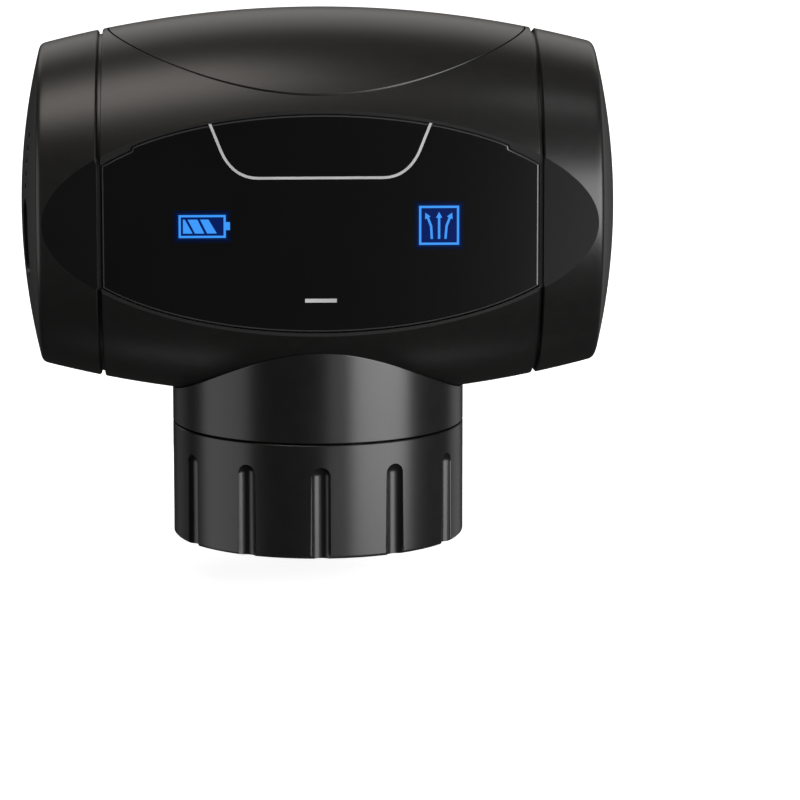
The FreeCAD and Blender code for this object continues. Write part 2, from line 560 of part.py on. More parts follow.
stem_bores = [
    rod("stem_way", "z", "dims.stem_bore", "dims.stem_tip - dims.over", "dims.arm_height", ("0", "0")),
    rod("arm_way", "x", "dims.arm_bore", "0", "dims.inlet_place", ("0", "dims.arm_height")),
    rod("inlet_way", "z", "dims.arm_bore", "dims.arm_height", "%s + dims.over" % HEAD_BOTTOM,
        ("dims.inlet_place", "0")),
    rod("back_way", "y", "dims.arm_bore", "dims.hose_back", "0", ("0", "dims.arm_height")),
    rod("nipple_way", "z", "dims.fine_bore", "dims.arm_height",
        "dims.arm_height + dims.nipple_length + dims.over", ("0", "dims.hose_back")),
]
nodes["suction_stem"] = cut("suction_stem", stem_solid, *stem_bores)
nodes["check_valve"] = rod("check_valve", "z", "dims.stem_bore - dims.slip", "dims.stem_tip + dims.plug_low",
                           "dims.stem_tip + dims.plug_low + dims.plug_length", ("0", "0"))
nodes["release_hose"] = tube("release_hose", "z", "dims.hose_radius", "dims.hose_bore",
                             "dims.arm_height + dims.arm_radius", "dims.deck_bottom - 2 * dims.slip",
                             ("0", "dims.hose_back"))

# Release valve ------------------------------------------------------------------------------------------

valve_bore = rod("valve_bore", "z", "dims.valve_bore", "dims.valve_bottom + dims.valve_floor",
                 "dims.valve_top - dims.valve_lid", ("0", "dims.hose_back"))
valve_mouth = rod("valve_mouth", "z", "dims.plunger_hole", "dims.valve_top - 2 * dims.valve_lid",
                  "dims.valve_top + dims.over", ("0", "dims.hose_back"))
valve_way = rod("valve_way", "z", "dims.fine_bore", "dims.deck_bottom - dims.valve_nipple - dims.over",
                "dims.valve_bottom + dims.valve_floor + dims.over", ("0", "dims.hose_back"))
nodes["release_valve"] = cut(
    "release_valve",
    join("valve_solid",
         rod("valve_case", "z", "dims.valve_radius", DECK_TOP, "dims.valve_top", ("0", "dims.hose_back")),
         rod("valve_nipple", "z", "dims.hose_bore", "dims.deck_bottom - dims.valve_nipple", DECK_TOP,
             ("0", "dims.hose_back"))),
    valve_bore, valve_mouth, valve_way)
DISC_TOP = "(dims.valve_top - dims.valve_lid - dims.disc_drop)"
PLUNGER_TOP = ("(%s + sqrt((dims.barrel_radius - dims.plate_thick) ^ 2 "
               "- (dims.hose_back - dims.plunger_radius) ^ 2) - dims.plunger_slack)" % AXIS)
nodes["release_plunger"] = join(
    "release_plunger",
    rod("plunger_stem", "z", "dims.plunger_radius", "%s - dims.disc_thick" % DISC_TOP, PLUNGER_TOP,
        ("0", "dims.hose_back")),
    rod("plunger_disc", "z", "dims.plunger_disc", "%s - dims.disc_thick" % DISC_TOP, DISC_TOP,
        ("0", "dims.hose_back")))
release_ring = doc.addObject("Part::Torus", "release_o_ring")
release_ring.setExpression("Radius1", "dims.plunger_radius + dims.disc_drop / 2 + dims.cord_slack")
release_ring.setExpression("Radius2", "dims.disc_drop / 2 - dims.cord_slack")
place(release_ring, y="dims.hose_back", z="%s + dims.disc_drop / 2" % DISC_TOP)
nodes["release_o_ring"] = release_ring


def coil(name, radius, wire, low, high, turns, centre):
    """A compression spring, worked out from the sheet's values."""
    thick = value(wire)
    bottom = value(low) + thick / 2
    rise = value(high) - thick / 2 - bottom
    line = Part.makeLongHelix(rise / value(turns), rise, value(radius))
    start = FreeCAD.Vector(value(radius), 0, 0)
    section = Part.Wire([Part.makeCircle(thick / 2, start, FreeCAD.Vector(0, 1, 0))])
    item = doc.addObject("Part::Feature", name)
    item.Shape = Part.Wire(line.Edges).makePipeShell([section], True, True)
    item.Placement = FreeCAD.Placement(FreeCAD.Vector(value(centre[0]), value(centre[1]), bottom),
                                       FreeCAD.Rotation())
    return item


nodes["release_spring"] = coil(
    "release_spring", "dims.release_coil", "dims.release_wire", "dims.valve_bottom + dims.valve_floor",
    "%s - dims.disc_thick" % DISC_TOP, "dims.release_turns", ("0", "dims.hose_back"))
TUBE_TOP = "(%s + dims.tube_height)" % DECK_TOP
SPRING_TOP = ("(%s - dims.barrel_radius + sqrt((dims.barrel_radius - dims.plate_thick) ^ 2 "
              "- dims.coil_reach ^ 2) + %s - dims.coil_slack)" % (AXIS, crown("dims.pin_place + dims.coil_reach")))
nodes["plate_springs"] = group("plate_springs", *[
    coil("plate_spring%d" % side, "dims.plate_coil", "dims.plate_wire", TUBE_TOP, SPRING_TOP,
         "dims.plate_turns", ("%d * dims.pin_place" % side, "0")) for side in (-1, 1)])

# Motor --------------------------------------------------------------------------------------------------

MOTOR = ("dims.motor_back", AXIS)
can_inside = rod("can_inside", "x", "dims.motor_radius - dims.can_wall", "dims.motor_left - dims.over",
                 "dims.motor_right - dims.can_wall", MOTOR)
nodes["motor_can"] = cut(
    "motor_can",
    join("can_solid",
         rod("can_body", "x", "dims.motor_radius", "dims.motor_left", "dims.motor_right", MOTOR),
         rod("can_boss", "x", "dims.boss_radius", "dims.motor_right - dims.can_wall",
             "dims.motor_right + dims.boss_length", MOTOR)),
    can_inside,
    rod("can_bush_seat", "x", "dims.bush_radius", "dims.motor_right - dims.can_wall - dims.over",
        "dims.motor_right + dims.boss_length + dims.over", MOTOR))
nodes["motor_end_bell"] = cut(
    "motor_end_bell",
    rod("bell_disc", "x", "dims.motor_radius - dims.can_wall - dims.bell_slack", "dims.motor_left",
        "dims.motor_left + dims.bell_thick", MOTOR),
    rod("bell_bush_seat", "x", "dims.bush_radius", "dims.motor_left - dims.over",
        "dims.motor_left + dims.bell_thick + dims.over", MOTOR))
bush_hole = "dims.shaft_radius + dims.bush_slack"
nodes["motor_bushes"] = group(
    "motor_bushes",
    tube("front_bush", "x", "dims.bush_radius", bush_hole, "dims.motor_right - dims.can_wall",
         "dims.motor_right + dims.boss_length", MOTOR),
    tube("rear_bush", "x", "dims.bush_radius", bush_hole, "dims.motor_left",
         "dims.motor_left + dims.bell_thick", MOTOR))
magnet_ring = tube("magnet_ring", "x", "dims.motor_radius - dims.can_wall - dims.slip",
                   "dims.motor_radius - dims.can_wall - dims.magnet_thick",
                   "dims.rotor_left - dims.magnet_over", "dims.rotor_right + dims.magnet_over", MOTOR)
nodes["motor_magnets"] = cut(
    "motor_magnets", magnet_ring,
    box("magnet_gap", ("-dims.reach", "dims.reach"),
        ("dims.motor_back - dims.magnet_gap", "dims.motor_back + dims.magnet_gap"), ("0", "dims.reach")))
nodes["motor_terminals"] = group("motor_terminals", *[
    box("terminal%d" % side, ("dims.motor_left - dims.terminal_length", "dims.motor_left"),
        ("dims.motor_back + %d * dims.terminal_place - dims.terminal_half" % side,
         "dims.motor_back + %d * dims.terminal_place + dims.terminal_half" % side),
        ("%s + dims.terminal_rise" % AXIS, "%s + dims.terminal_rise + dims.terminal_thick" % AXIS))
    for side in (-1, 1)])
nodes["motor_shaft"] = rod("motor_shaft", "x", "dims.shaft_radius", "dims.shaft_left", "dims.shaft_right",
                           MOTOR)
poles = tube("armature_core", "x", "dims.rotor_radius", "dims.shaft_radius", "dims.rotor_left",
             "dims.rotor_right", MOTOR)
slots = []
for index in range(3):
    slot = doc.addObject("Part::Box", "armature_slot%d" % index)
    slot.setExpression("Length", "dims.rotor_right - dims.rotor_left + 2 * dims.over")
    slot.setExpression("Width", "dims.pole_slot")
    slot.setExpression("Height", "dims.rotor_radius - dims.pole_root + dims.over")
    angle = 360 / 3 * index
    slot.Placement = FreeCAD.Placement(FreeCAD.Vector(), FreeCAD.Rotation(FreeCAD.Vector(1, 0, 0), angle))
    sine = math.sin(math.radians(angle))
    cosine = math.cos(math.radians(angle))
    place(slot, "dims.rotor_left - dims.over",
          "dims.motor_back - dims.pole_slot / 2 * %.9f - dims.pole_root * %.9f" % (cosine, sine),
          "%s - dims.pole_slot / 2 * %.9f + dims.pole_root * %.9f" % (AXIS, sine, cosine))
    slots.append(slot)
nodes["armature"] = cut("armature", poles, *slots)
nodes["commutator"] = tube("commutator", "x", "dims.commutator_radius", "dims.shaft_radius",
                           "dims.motor_left + dims.bell_thick + dims.commutator_gap", "dims.rotor_left", MOTOR)

# Pump ---------------------------------------------------------------------------------------------------

CAM = ("dims.motor_back", "%s - dims.throw" % AXIS)
nodes["eccentric"] = cut(
    "eccentric",
    join("cam_solid",
         rod("cam_disc", "x", "dims.cam_radius", "dims.cam_left", "dims.cam_right", CAM),
         rod("cam_hub", "x", "dims.hub_radius", "dims.cam_left - dims.hub_length", "dims.cam_left + dims.over",
             MOTOR)),
    rod("cam_hole", "x", "dims.shaft_radius", "dims.cam_left - dims.hub_length - dims.over",
        "dims.cam_right + dims.over", MOTOR))
ROD_LEFT = "(dims.rod_middle - dims.rod_width / 2)"
ROD_RIGHT = "(dims.rod_middle + dims.rod_width / 2)"
nodes["rod_bearing"] = tube("rod_bearing", "x", "dims.bearing_radius", "dims.cam_radius + dims.bush_slack",
                            ROD_LEFT, ROD_RIGHT, CAM)
CLAMP_BOTTOM = "(dims.diaphragm_level - dims.clamp_low)"
CLAMP_TOP = "(dims.diaphragm_level + dims.clamp_high)"
nodes["connecting_rod"] = cut(
    "connecting_rod",
    join("rod_solid",
         rod("rod_eye", "x", "dims.rod_ring", ROD_LEFT, ROD_RIGHT, CAM),
         rod("rod_shank", "z", "dims.rod_radius", CLAMP_TOP,
             "%s - dims.throw - dims.rod_ring + dims.over" % AXIS, ("dims.rod_middle", "dims.motor_back"))),
    rod("rod_eye_hole", "x", "dims.bearing_radius", "%s - dims.over" % ROD_LEFT, "%s + dims.over" % ROD_RIGHT,
        CAM))
nodes["diaphragm_clamp"] = rod("diaphragm_clamp", "z", "dims.clamp_radius", CLAMP_BOTTOM, CLAMP_TOP,
                               ("dims.rod_middle", "dims.motor_back"))
CASE_X = ("dims.case_left", "dims.case_right")
CASE_Y = ("dims.motor_back - dims.case_half", "dims.motor_back + dims.case_half")
HEAD_TOP = "(%s + dims.head_height)" % HEAD_BOTTOM
PLATE_TOP = "(%s + dims.plate_height)" % HEAD_TOP
screw_spots = [("%s %s dims.screw_inset" % (CASE_X[i], "+-"[i]),
                "%s %s dims.screw_inset" % (CASE_Y[j], "+-"[j])) for i in (0, 1) for j in (0, 1)]


def corner_holes(name, slack, bottom, top):
    return [rod("%s%d" % (name, index), "z", "dims.screw_radius + %s" % slack, bottom, top, spot)
            for index, spot in enumerate(screw_spots)]


nodes["diaphragm"] = cut(
    "diaphragm",
    box("diaphragm_sheet", ("dims.case_left + dims.sheet_inset", "dims.case_right - dims.sheet_inset"),
        ("%s + dims.sheet_inset" % CASE_Y[0], "%s - dims.sheet_inset" % CASE_Y[1]),
        ("dims.diaphragm_level - dims.diaphragm_thick", "dims.diaphragm_level")),
    rod("diaphragm_eye", "z", "dims.diaphragm_hole", "0", AXIS, ("dims.rod_middle", "dims.motor_back")),
    *corner_holes("diaphragm_hole", "dims.slip", "0", AXIS))
chamber_x = ("dims.case_left + dims.case_wall", "dims.case_right - dims.case_wall")
chamber_y = ("%s + dims.case_wall" % CASE_Y[0], "%s - dims.case_wall" % CASE_Y[1])
wall_left = ("dims.case_left - dims.over", "dims.case_left + dims.case_wall + dims.over")
wall_right = ("dims.case_right - dims.case_wall - dims.over", "dims.case_right + dims.over")
motor_screw_spots = [("dims.motor_back", "%s + %d * dims.motor_screw_place" % (AXIS, side)) for side in (-1, 1)]
nodes["pump_case"] = cut(
    "pump_case",
    box("case_block", CASE_X, CASE_Y, ("dims.diaphragm_level", "%s + dims.case_half" % AXIS)),
    box("case_chamber", chamber_x, chamber_y,
        ("dims.diaphragm_level + dims.throat_depth", "%s + dims.case_half - dims.case_wall" % AXIS)),
    rod("case_throat", "z", "dims.clamp_radius + dims.throat_slack", "dims.diaphragm_level - dims.over",
        "dims.diaphragm_level + dims.throat_depth + dims.over", ("dims.rod_middle", "dims.motor_back")),
    rod("case_motor_hole", "x", "dims.boss_radius + dims.slip", wall_left[0], wall_left[1], MOTOR),
    rod("case_cam_hole", "x", "dims.rod_ring + dims.door_slack", wall_right[0], wall_right[1], MOTOR),
    *[rod("case_motor_screw%d" % index, "x", "dims.screw_radius + dims.slip", wall_left[0], wall_left[1], spot)
      for index, spot in enumerate(motor_screw_spots)],
    *corner_holes("case_hole", "0", "0", "dims.diaphragm_level + dims.screw_bite + dims.screw_spare"))
SCREW_SEAT = "dims.case_left + dims.case_wall"
nodes["motor_screws"] = group("motor_screws", *[
    join("motor_screw%d" % index,
         rod("motor_screw_stem%d" % index, "x", "dims.screw_radius", "dims.case_left + dims.tip_slack",
             SCREW_SEAT + " + dims.screw_rise", spot),
         rod("motor_screw_head%d" % index, "x", "dims.screw_head", SCREW_SEAT,
             SCREW_SEAT + " + dims.screw_rise", spot))
    for index, spot in enumerate(motor_screw_spots)])
flap_spots = [("dims.rod_middle", "dims.motor_back + %d * dims.flap_place" % side) for side in (-1, 1)]
nodes["valve_plate"] = cut(
    "valve_plate",
    box("valve_plate_block", CASE_X, CASE_Y, (HEAD_TOP, PLATE_TOP)),
    rod("compression_space", "z", "dims.clamp_radius + dims.space_slack", "%s - dims.space_depth" % PLATE_TOP,
        "%s + dims.over" % PLATE_TOP, ("dims.rod_middle", "dims.motor_back")),
    *[rod("flap_port%d" % index, "z", "dims.flap_bore", "%s - dims.over" % HEAD_TOP,
          "%s + dims.over" % PLATE_TOP, spot) for index, spot in enumerate(flap_spots)],
    *[rod("flap_seat%d" % index, "z", "dims.seat_radius", "%s - dims.over" % HEAD_TOP,
          "%s + dims.seat_depth" % HEAD_TOP, spot) for index, spot in enumerate(flap_spots)],
    *corner_holes("plate_hole", "dims.slip", "0", AXIS))
nodes["valve_flaps"] = group("valve_flaps", *[
    rod("valve_flap%d" % index, "z", "dims.flap_radius", "%s + dims.slip" % HEAD_TOP,
        "%s + dims.seat_depth" % HEAD_TOP, spot) for index, spot in enumerate(flap_spots)])
OUTLET = ("dims.motor_back + dims.outlet_place", "(%s + dims.hose_radius + dims.outlet_gap)" % HEAD_BOTTOM)
space_x = ("dims.rod_middle - dims.space_half", "dims.rod_middle + dims.space_half")
space_z = ("%s + dims.space_floor" % HEAD_BOTTOM, "%s + dims.over" % HEAD_TOP)
nodes["pump_head"] = cut(
    "pump_head",
    join("head_solid", box("head_block", CASE_X, CASE_Y, (HEAD_BOTTOM, HEAD_TOP)),
         rod("head_outlet", "x", "dims.hose_bore", "dims.case_left - dims.outlet_length",
             "dims.case_left + dims.over", OUTLET)),
    box("inlet_space", space_x,
        ("dims.motor_back - dims.space_far", "dims.motor_back - dims.space_near"), space_z),
    box("outlet_space", space_x,
        ("dims.motor_back + dims.space_near", "dims.motor_back + dims.space_far"), space_z),
    rod("head_inlet", "z", "dims.arm_bore", "0", "%s + dims.space_floor + dims.slip" % HEAD_BOTTOM,
        ("dims.inlet_place", "0")),
    rod("outlet_way", "x", "dims.fine_bore", "dims.case_left - dims.outlet_length - dims.over",
        "dims.rod_middle", OUTLET),
    *corner_holes("head_hole", "dims.slip", "0", AXIS))
nodes["pump_screws"] = group("pump_screws", *[
    join("pump_screw%d" % index,
         rod("pump_screw_stem%d" % index, "z", "dims.screw_radius", "%s - dims.screw_rise" % HEAD_BOTTOM,
             "dims.diaphragm_level + dims.screw_bite", spot),
         rod("pump_screw_head%d" % index, "z", "dims.screw_head", "%s - dims.screw_rise" % HEAD_BOTTOM,
             HEAD_BOTTOM, spot))
    for index, spot in enumerate(screw_spots)])

# Chassis ------------------------------------------------------------------------------------------------

TRAY_TOP = "(dims.tray_bottom + dims.tray_thick)"
MOTOR_BOTTOM = "(%s - dims.motor_radius)" % AXIS
posts = []
post_spots = [(along, across) for along in ("dims.post_left", "dims.post_right")
              for across in ("dims.post_front", "dims.post_back")]
for index, (along, across) in enumerate(post_spots):
    half = "dims.post_size / 2"
    posts.append(box("post%d" % index, ("%s - %s" % (along, half), "%s + %s" % (along, half)),
                     ("%s - %s" % (across, half), "%s + %s" % (across, half)),
                     ("dims.tray_bottom", "dims.deck_bottom")))
legs = [rod("leg%d" % side, "z", "dims.leg_radius", FLOOR_TOP, "dims.tray_bottom + dims.tray_thick / 2",
            ("dims.leg_left", "%d * dims.leg_side" % side)) for side in (-1, 1)]
leg_threads = [rod("leg_thread%d" % side, "z", "dims.small_screw", "0", "%s + dims.leg_bite" % FLOOR_TOP,
                   ("dims.leg_left", "%d * dims.leg_side" % side)) for side in (-1, 1)]
post_threads = [rod("post_thread%d" % index, "z", "dims.small_screw", "dims.deck_bottom - dims.post_bite",
                    "dims.deck_bottom + dims.over", spot) for index, spot in enumerate(post_spots)]
nodes["chassis"] = cut(
    "chassis",
    join("chassis_solid",
         box("tray", ("dims.tray_left", "dims.tray_right"),
             ("dims.post_front - dims.post_size / 2", "dims.post_back + dims.post_size / 2"),
             ("dims.tray_bottom", TRAY_TOP)),
         *posts, *legs),
    *leg_threads, *post_threads)
nodes["motor_pads"] = cut(
    "motor_pads",
    group("pad_blocks", *[
        box("pad%d" % index, (start, "%s + dims.pad_thick" % start),
            ("dims.motor_back - dims.pad_half", "dims.motor_back + dims.pad_half"),
            (TRAY_TOP, "%s + dims.pad_rise" % MOTOR_BOTTOM))
        for index, start in enumerate(("dims.pad_left", "dims.pad_right"))]),
    rod("pad_saddle", "x", "dims.motor_radius + dims.slip", "-dims.reach", "dims.reach", MOTOR))
nodes["valve_deck"] = cut(
    "valve_deck",
    join("deck_solid",
         box("deck", ("-dims.deck_half_length", "dims.deck_half_length"), ("dims.deck_front", "dims.deck_back"),
             ("dims.deck_bottom", DECK_TOP)),
         *[box("deck_ear%d" % index, ("%s - dims.ear_half" % spot[0], "%s + dims.ear_half" % spot[0]),
               ("%s - dims.ear_half" % spot[1], "%s + dims.ear_half" % spot[1]), ("dims.deck_bottom", DECK_TOP))
           for index, spot in enumerate(post_spots)],
         *[rod("pin_guide%d" % side, "z", "dims.pin_radius + dims.pin_slack + dims.tube_wall",
               "dims.deck_bottom", TUBE_TOP, ("%d * dims.pin_place" % side, "0")) for side in (-1, 1)]),
    *[rod("pin_bore%d" % side, "z", "dims.pin_radius + dims.pin_slack", "%s + dims.slip" % DECK_TOP,
          "dims.reach", ("%d * dims.pin_place" % side, "0")) for side in (-1, 1)],
    rod("hose_way", "z", "dims.hose_bore", "0", "dims.reach", ("0", "dims.hose_back")),
    *[rod("deck_hole%d" % index, "z", "dims.small_screw + dims.slip", "0", "dims.reach", spot)
      for index, spot in enumerate(post_spots)])


def screw(name, spot, seat, stem, up):
    """A screw whose head seats at a level and whose stem goes up or down from there."""
    tip = "%s %s %s" % (seat, "+-"[not up], stem)
    crown_side = "%s %s dims.screw_rise" % (seat, "-+"[not up])
    low, high = (seat, tip) if up else (tip, seat)
    head = (crown_side, seat) if up else (seat, crown_side)
    return join(name, rod(name + "_stem", "z", "dims.small_screw", low, high, spot),
                rod(name + "_head", "z", "dims.screw_head", head[0], head[1], spot))


nodes["deck_screws"] = group("deck_screws", *[
    screw("deck_screw%d" % index, spot, DECK_TOP, "dims.deck_screw_length", False)
    for index, spot in enumerate(post_spots)])
nodes["leg_screws"] = group("leg_screws", *[
    screw("leg_screw%d" % side, ("dims.leg_left", "%d * dims.leg_side" % side), NECK_BOTTOM,
          "dims.leg_screw_length", True) for side in (-1, 1)])

# Electronics --------------------------------------------------------------------------------------------

nodes["battery_cell"] = box(
    "battery_cell", ("-dims.cell_half_width", "dims.cell_half_width"), ("dims.cell_front", "dims.cell_back"),
    ("%s - dims.cell_half_height" % AXIS, "%s + dims.cell_half_height" % AXIS))
nodes["battery_pad"] = box(
    "battery_pad", ("-dims.cell_half_width + dims.foam_inset", "dims.cell_half_width - dims.foam_inset"),
    (BOARD_BACK, "dims.cell_front"),
    ("%s - dims.cell_half_height + dims.foam_inset" % AXIS,
     "%s + dims.cell_half_height - dims.foam_inset" % AXIS))
MAIN_BACK = "(dims.main_front + dims.main_thick)"
nodes["main_board"] = box(
    "main_board", ("dims.main_left", "dims.main_right"), ("dims.main_front", MAIN_BACK),
    ("%s - dims.main_low" % AXIS, "%s + dims.main_high" % AXIS))
CHIP = (MAIN_BACK, "%s + dims.chip_thick" % MAIN_BACK)
nodes["board_chips"] = group(
    "board_chips",
    box("drive_chip", ("dims.drive_chip_left", "dims.drive_chip_left + dims.drive_chip_size"), CHIP,
        ("%s - dims.drive_chip_size" % AXIS, "%s + dims.drive_chip_size" % AXIS)),
    box("charge_chip", ("dims.charge_chip_left", "dims.charge_chip_left + dims.charge_chip_size"), CHIP,
        ("%s + dims.charge_chip_low" % AXIS, "%s + dims.charge_chip_low + dims.charge_chip_size" % AXIS)))
SENSOR = ("dims.sensor_place", "(%s + dims.sensor_level)" % AXIS)
nodes["pressure_sensor"] = join(
    "pressure_sensor",
    box("sensor_body", ("%s - dims.sensor_half" % SENSOR[0], "%s + dims.sensor_half" % SENSOR[0]),
        (MAIN_BACK, "%s + dims.sensor_thick" % MAIN_BACK),
        ("%s - dims.sensor_half" % SENSOR[1], "%s + dims.sensor_half" % SENSOR[1])),
    rod("sensor_nose", "y", "dims.sensor_nose", MAIN_BACK, "%s + dims.sensor_length" % MAIN_BACK, SENSOR))
SOCKET = "(%s + dims.socket_height)" % AXIS
SOCKET_LEFT = "(-dims.rim_place - dims.dome_height + dims.socket_sink)"
SOCKET_RIGHT = "(%s + dims.socket_length)" % SOCKET_LEFT
socket_back = "(dims.port_front + dims.socket_thick / 2)"
nodes["charge_board"] = box(
    "charge_board", ("%s + dims.charge_gap" % SOCKET_LEFT, "dims.main_left - 2 * dims.slip"),
    (socket_back, "%s + dims.charge_thick" % socket_back),
    ("%s - dims.charge_half" % SOCKET, "%s + dims.charge_half" % SOCKET))


def socket_form(name, inset, low, high):
    """The socket's rounded outline, standing on edge, as a solid along X."""
    straight = "(dims.socket_width - dims.socket_thick) / 2"
    radius = "dims.socket_thick / 2 - (%s)" % inset
    ends = [rod("%s_end%d" % (name, side), "x", radius, low, high,
                ("dims.port_front", "%s + %d * %s" % (SOCKET, side, straight))) for side in (-1, 1)]
    middle = box(name + "_middle", (low, high),
                 ("dims.port_front - (%s)" % radius, "dims.port_front + (%s)" % radius),
                 ("%s - %s" % (SOCKET, straight), "%s + %s" % (SOCKET, straight)))
    return join(name, middle, *ends)


nodes["charging_socket"] = cut(
    "charging_socket", socket_form("socket_can", "0", SOCKET_LEFT, SOCKET_RIGHT),
    socket_form("socket_mouth", "dims.socket_wall", "%s - dims.over" % SOCKET_LEFT,
                "%s - dims.socket_back_wall" % SOCKET_RIGHT))
nodes["socket_tongue"] = box(
    "socket_tongue", ("%s + dims.socket_back_wall" % SOCKET_LEFT, "%s - dims.socket_back_wall" % SOCKET_RIGHT),
    ("dims.port_front - dims.tongue_half_thick", "dims.port_front + dims.tongue_half_thick"),
    ("%s - dims.tongue_half_height" % SOCKET, "%s + dims.tongue_half_height" % SOCKET))
FILTER_LEFT = "(-dims.rim_place + dims.cap_wall - dims.filter_sink)"
nodes["exhaust_filter"] = box(
    "exhaust_filter", (FILTER_LEFT, "%s + dims.filter_thick" % FILTER_LEFT),
    ("dims.port_front - dims.filter_half", "dims.port_front + dims.filter_half"),
    ("%s + dims.vent_low - dims.filter_margin" % AXIS,
     "%s + dims.vent_low + (dims.vent_count - 1) * dims.vent_pitch + dims.filter_margin" % AXIS))


def hose(name, points, outer, inner, bend):
    """A hollow hose along straight runs joined by tangent arcs."""
    route = [FreeCAD.Vector(*[value(item) for item in point]) for point in points]
    edges = []
    here = route[0]
    for index in range(1, len(route) - 1):
        back = (route[index - 1] - route[index]).normalize()
        ahead = (route[index + 1] - route[index]).normalize()
        half_turn = (math.pi - back.getAngle(ahead)) / 2
        reach = bend * math.tan(half_turn)
        first = route[index] + back * reach
        last = route[index] + ahead * reach
        inwards = (back + ahead).normalize()
        middle = route[index] + inwards * (bend / math.cos(half_turn) - bend)
        edges += [Part.LineSegment(here, first).toShape(), Part.Arc(first, middle, last).toShape()]
        here = last
    edges.append(Part.LineSegment(here, route[-1]).toShape())
    path = Part.Wire(edges)
    start = (route[1] - route[0]).normalize()
    solids = []
    for radius in (outer, inner):
        section = Part.Wire([Part.makeCircle(radius, route[0], start)])
        solids.append(path.makePipeShell([section], True, False))
    item = doc.addObject("Part::Feature", name)
    item.Shape = solids[0].cut(solids[1])
    return item


HOSE_FACE = "%s + dims.filter_sink + dims.route_face" % FILTER_LEFT
hose_level = "%s + dims.route_level" % AXIS
nodes["exhaust_hose"] = hose(
    "exhaust_hose",
    [("dims.case_left - dims.hose_slack", OUTLET[0], OUTLET[1]),
     ("dims.route_left", OUTLET[0], OUTLET[1]),
     ("dims.route_end", "dims.motor_back + dims.route_back", "%s + dims.route_rise" % OUTLET[1]),
     (HOSE_FACE, "dims.route_side", hose_level),
     (HOSE_FACE, "dims.port_front + dims.filter_half", hose_level)],
    SIZES["hose_radius"], SIZES["hose_bore"], SIZES["hose_bend"])
lead_line = "%s + dims.lead_radius" % MAIN_BACK
cell_middle = "(dims.cell_front + dims.cell_back) / 2"
nodes["battery_leads"] = group("battery_leads", *[
    hose("battery_lead%d" % index,
         [("dims.cell_half_width", cell_middle, level),
          ("dims.main_right + dims.lead_reach", cell_middle, level),
          ("dims.main_right + dims.lead_reach", lead_line, level),
          ("dims.main_right - dims.lead_reach", lead_line, level)],
         SIZES["lead_radius"], SIZES["lead_bore"], SIZES["lead_bend"])
    for index, level in enumerate(
        "%s + dims.lead_level + %d * dims.lead_pitch" % (AXIS, step) for step in (0, 1))])

# Writing ------------------------------------------------------------------------------------------------

doc.recompute()
for name, item in nodes.items():
    for other in doc.getObjectsByLabel(name):
        if other is not item:
            other.Label = name + "_source"
    item.Label = name
faults = [item.Name for item in doc.Objects if {"Invalid", "Error"} & set(item.State)]
for name, item in nodes.items():
    if item.Shape.isNull() or not item.Shape.isValid() or not item.Shape.Solids:
        faults.append(name)
if faults:
    raise SystemExit("failed objects: " + ", ".join(faults))
os.makedirs("parts", exist_ok=True)
for name, item in nodes.items():
    item.Shape.exportStep("parts/%s.step" % name)
    print(name, len(item.Shape.Solids), round(item.Shape.Volume, 1))
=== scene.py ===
import json
import math

import bpy
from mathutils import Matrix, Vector


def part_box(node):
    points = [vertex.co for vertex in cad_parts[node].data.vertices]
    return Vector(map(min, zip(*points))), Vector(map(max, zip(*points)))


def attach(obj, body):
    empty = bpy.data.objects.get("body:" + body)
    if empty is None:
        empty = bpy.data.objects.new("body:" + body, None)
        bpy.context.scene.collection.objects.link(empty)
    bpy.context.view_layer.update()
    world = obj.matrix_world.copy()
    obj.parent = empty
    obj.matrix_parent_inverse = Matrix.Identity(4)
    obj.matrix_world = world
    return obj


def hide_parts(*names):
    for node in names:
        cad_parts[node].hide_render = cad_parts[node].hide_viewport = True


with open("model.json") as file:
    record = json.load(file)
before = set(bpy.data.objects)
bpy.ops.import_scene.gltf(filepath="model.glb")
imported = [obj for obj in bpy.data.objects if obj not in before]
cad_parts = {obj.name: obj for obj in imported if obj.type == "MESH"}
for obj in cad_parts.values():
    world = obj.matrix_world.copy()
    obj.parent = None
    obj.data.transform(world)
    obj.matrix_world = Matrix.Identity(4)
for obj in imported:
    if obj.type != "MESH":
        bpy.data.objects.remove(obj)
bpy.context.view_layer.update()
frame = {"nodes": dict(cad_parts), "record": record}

nodes = frame["nodes"]
slots = {part["node"]: part["material_slot"] for part in frame["record"]["subparts"]}

# Barrel middle: one moulded shell of matt black plastic, turned about X, with a flat facet at the front.
# It is drawn as a profile, spun, cut flat, and hollowed; the oval opening on top takes the release plate.

AXIS = (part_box("motor_can")[0].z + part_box("motor_can")[1].z) / 2
BARREL_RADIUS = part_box("main_shell")[1].y
CROWN_ARC = 0.160
SHELL_WALL = 0.0020
LEDGE_WALL = 0.0030
SEAM_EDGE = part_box("main_shell")[1].x
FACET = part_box("display_panel")[0].y
PANEL_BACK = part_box("display_panel")[1].y
PANEL_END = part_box("display_panel")[1].x
PLATE_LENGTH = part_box("release_plate")[1].x
PLATE_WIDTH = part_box("release_plate")[1].y
PLATE_GAP = 0.00025
RECESS_LENGTH = 0.0389
RECESS_HEIGHT = 0.0160
STEP_PLACE = 0.0273
STEP_DEPTH = 0.0006
SPIN_STEPS = 240
SOFT_EDGE = 0.00022
THROAT_RADIUS = 0.018
OPENING_FLOOR = 0.0142
ABOVE_ALL = 0.04
PAST = 0.001


def begin():
    """Leave edit mode with nothing selected."""
    if bpy.context.object and bpy.context.object.mode == "EDIT":
        bpy.ops.object.mode_set(mode="OBJECT")
    bpy.ops.object.select_all(action="DESELECT")


def pick(piece):
    """Make a piece the only one selected, and the active one."""
    begin()
    piece.select_set(True)
    bpy.context.view_layer.objects.active = piece


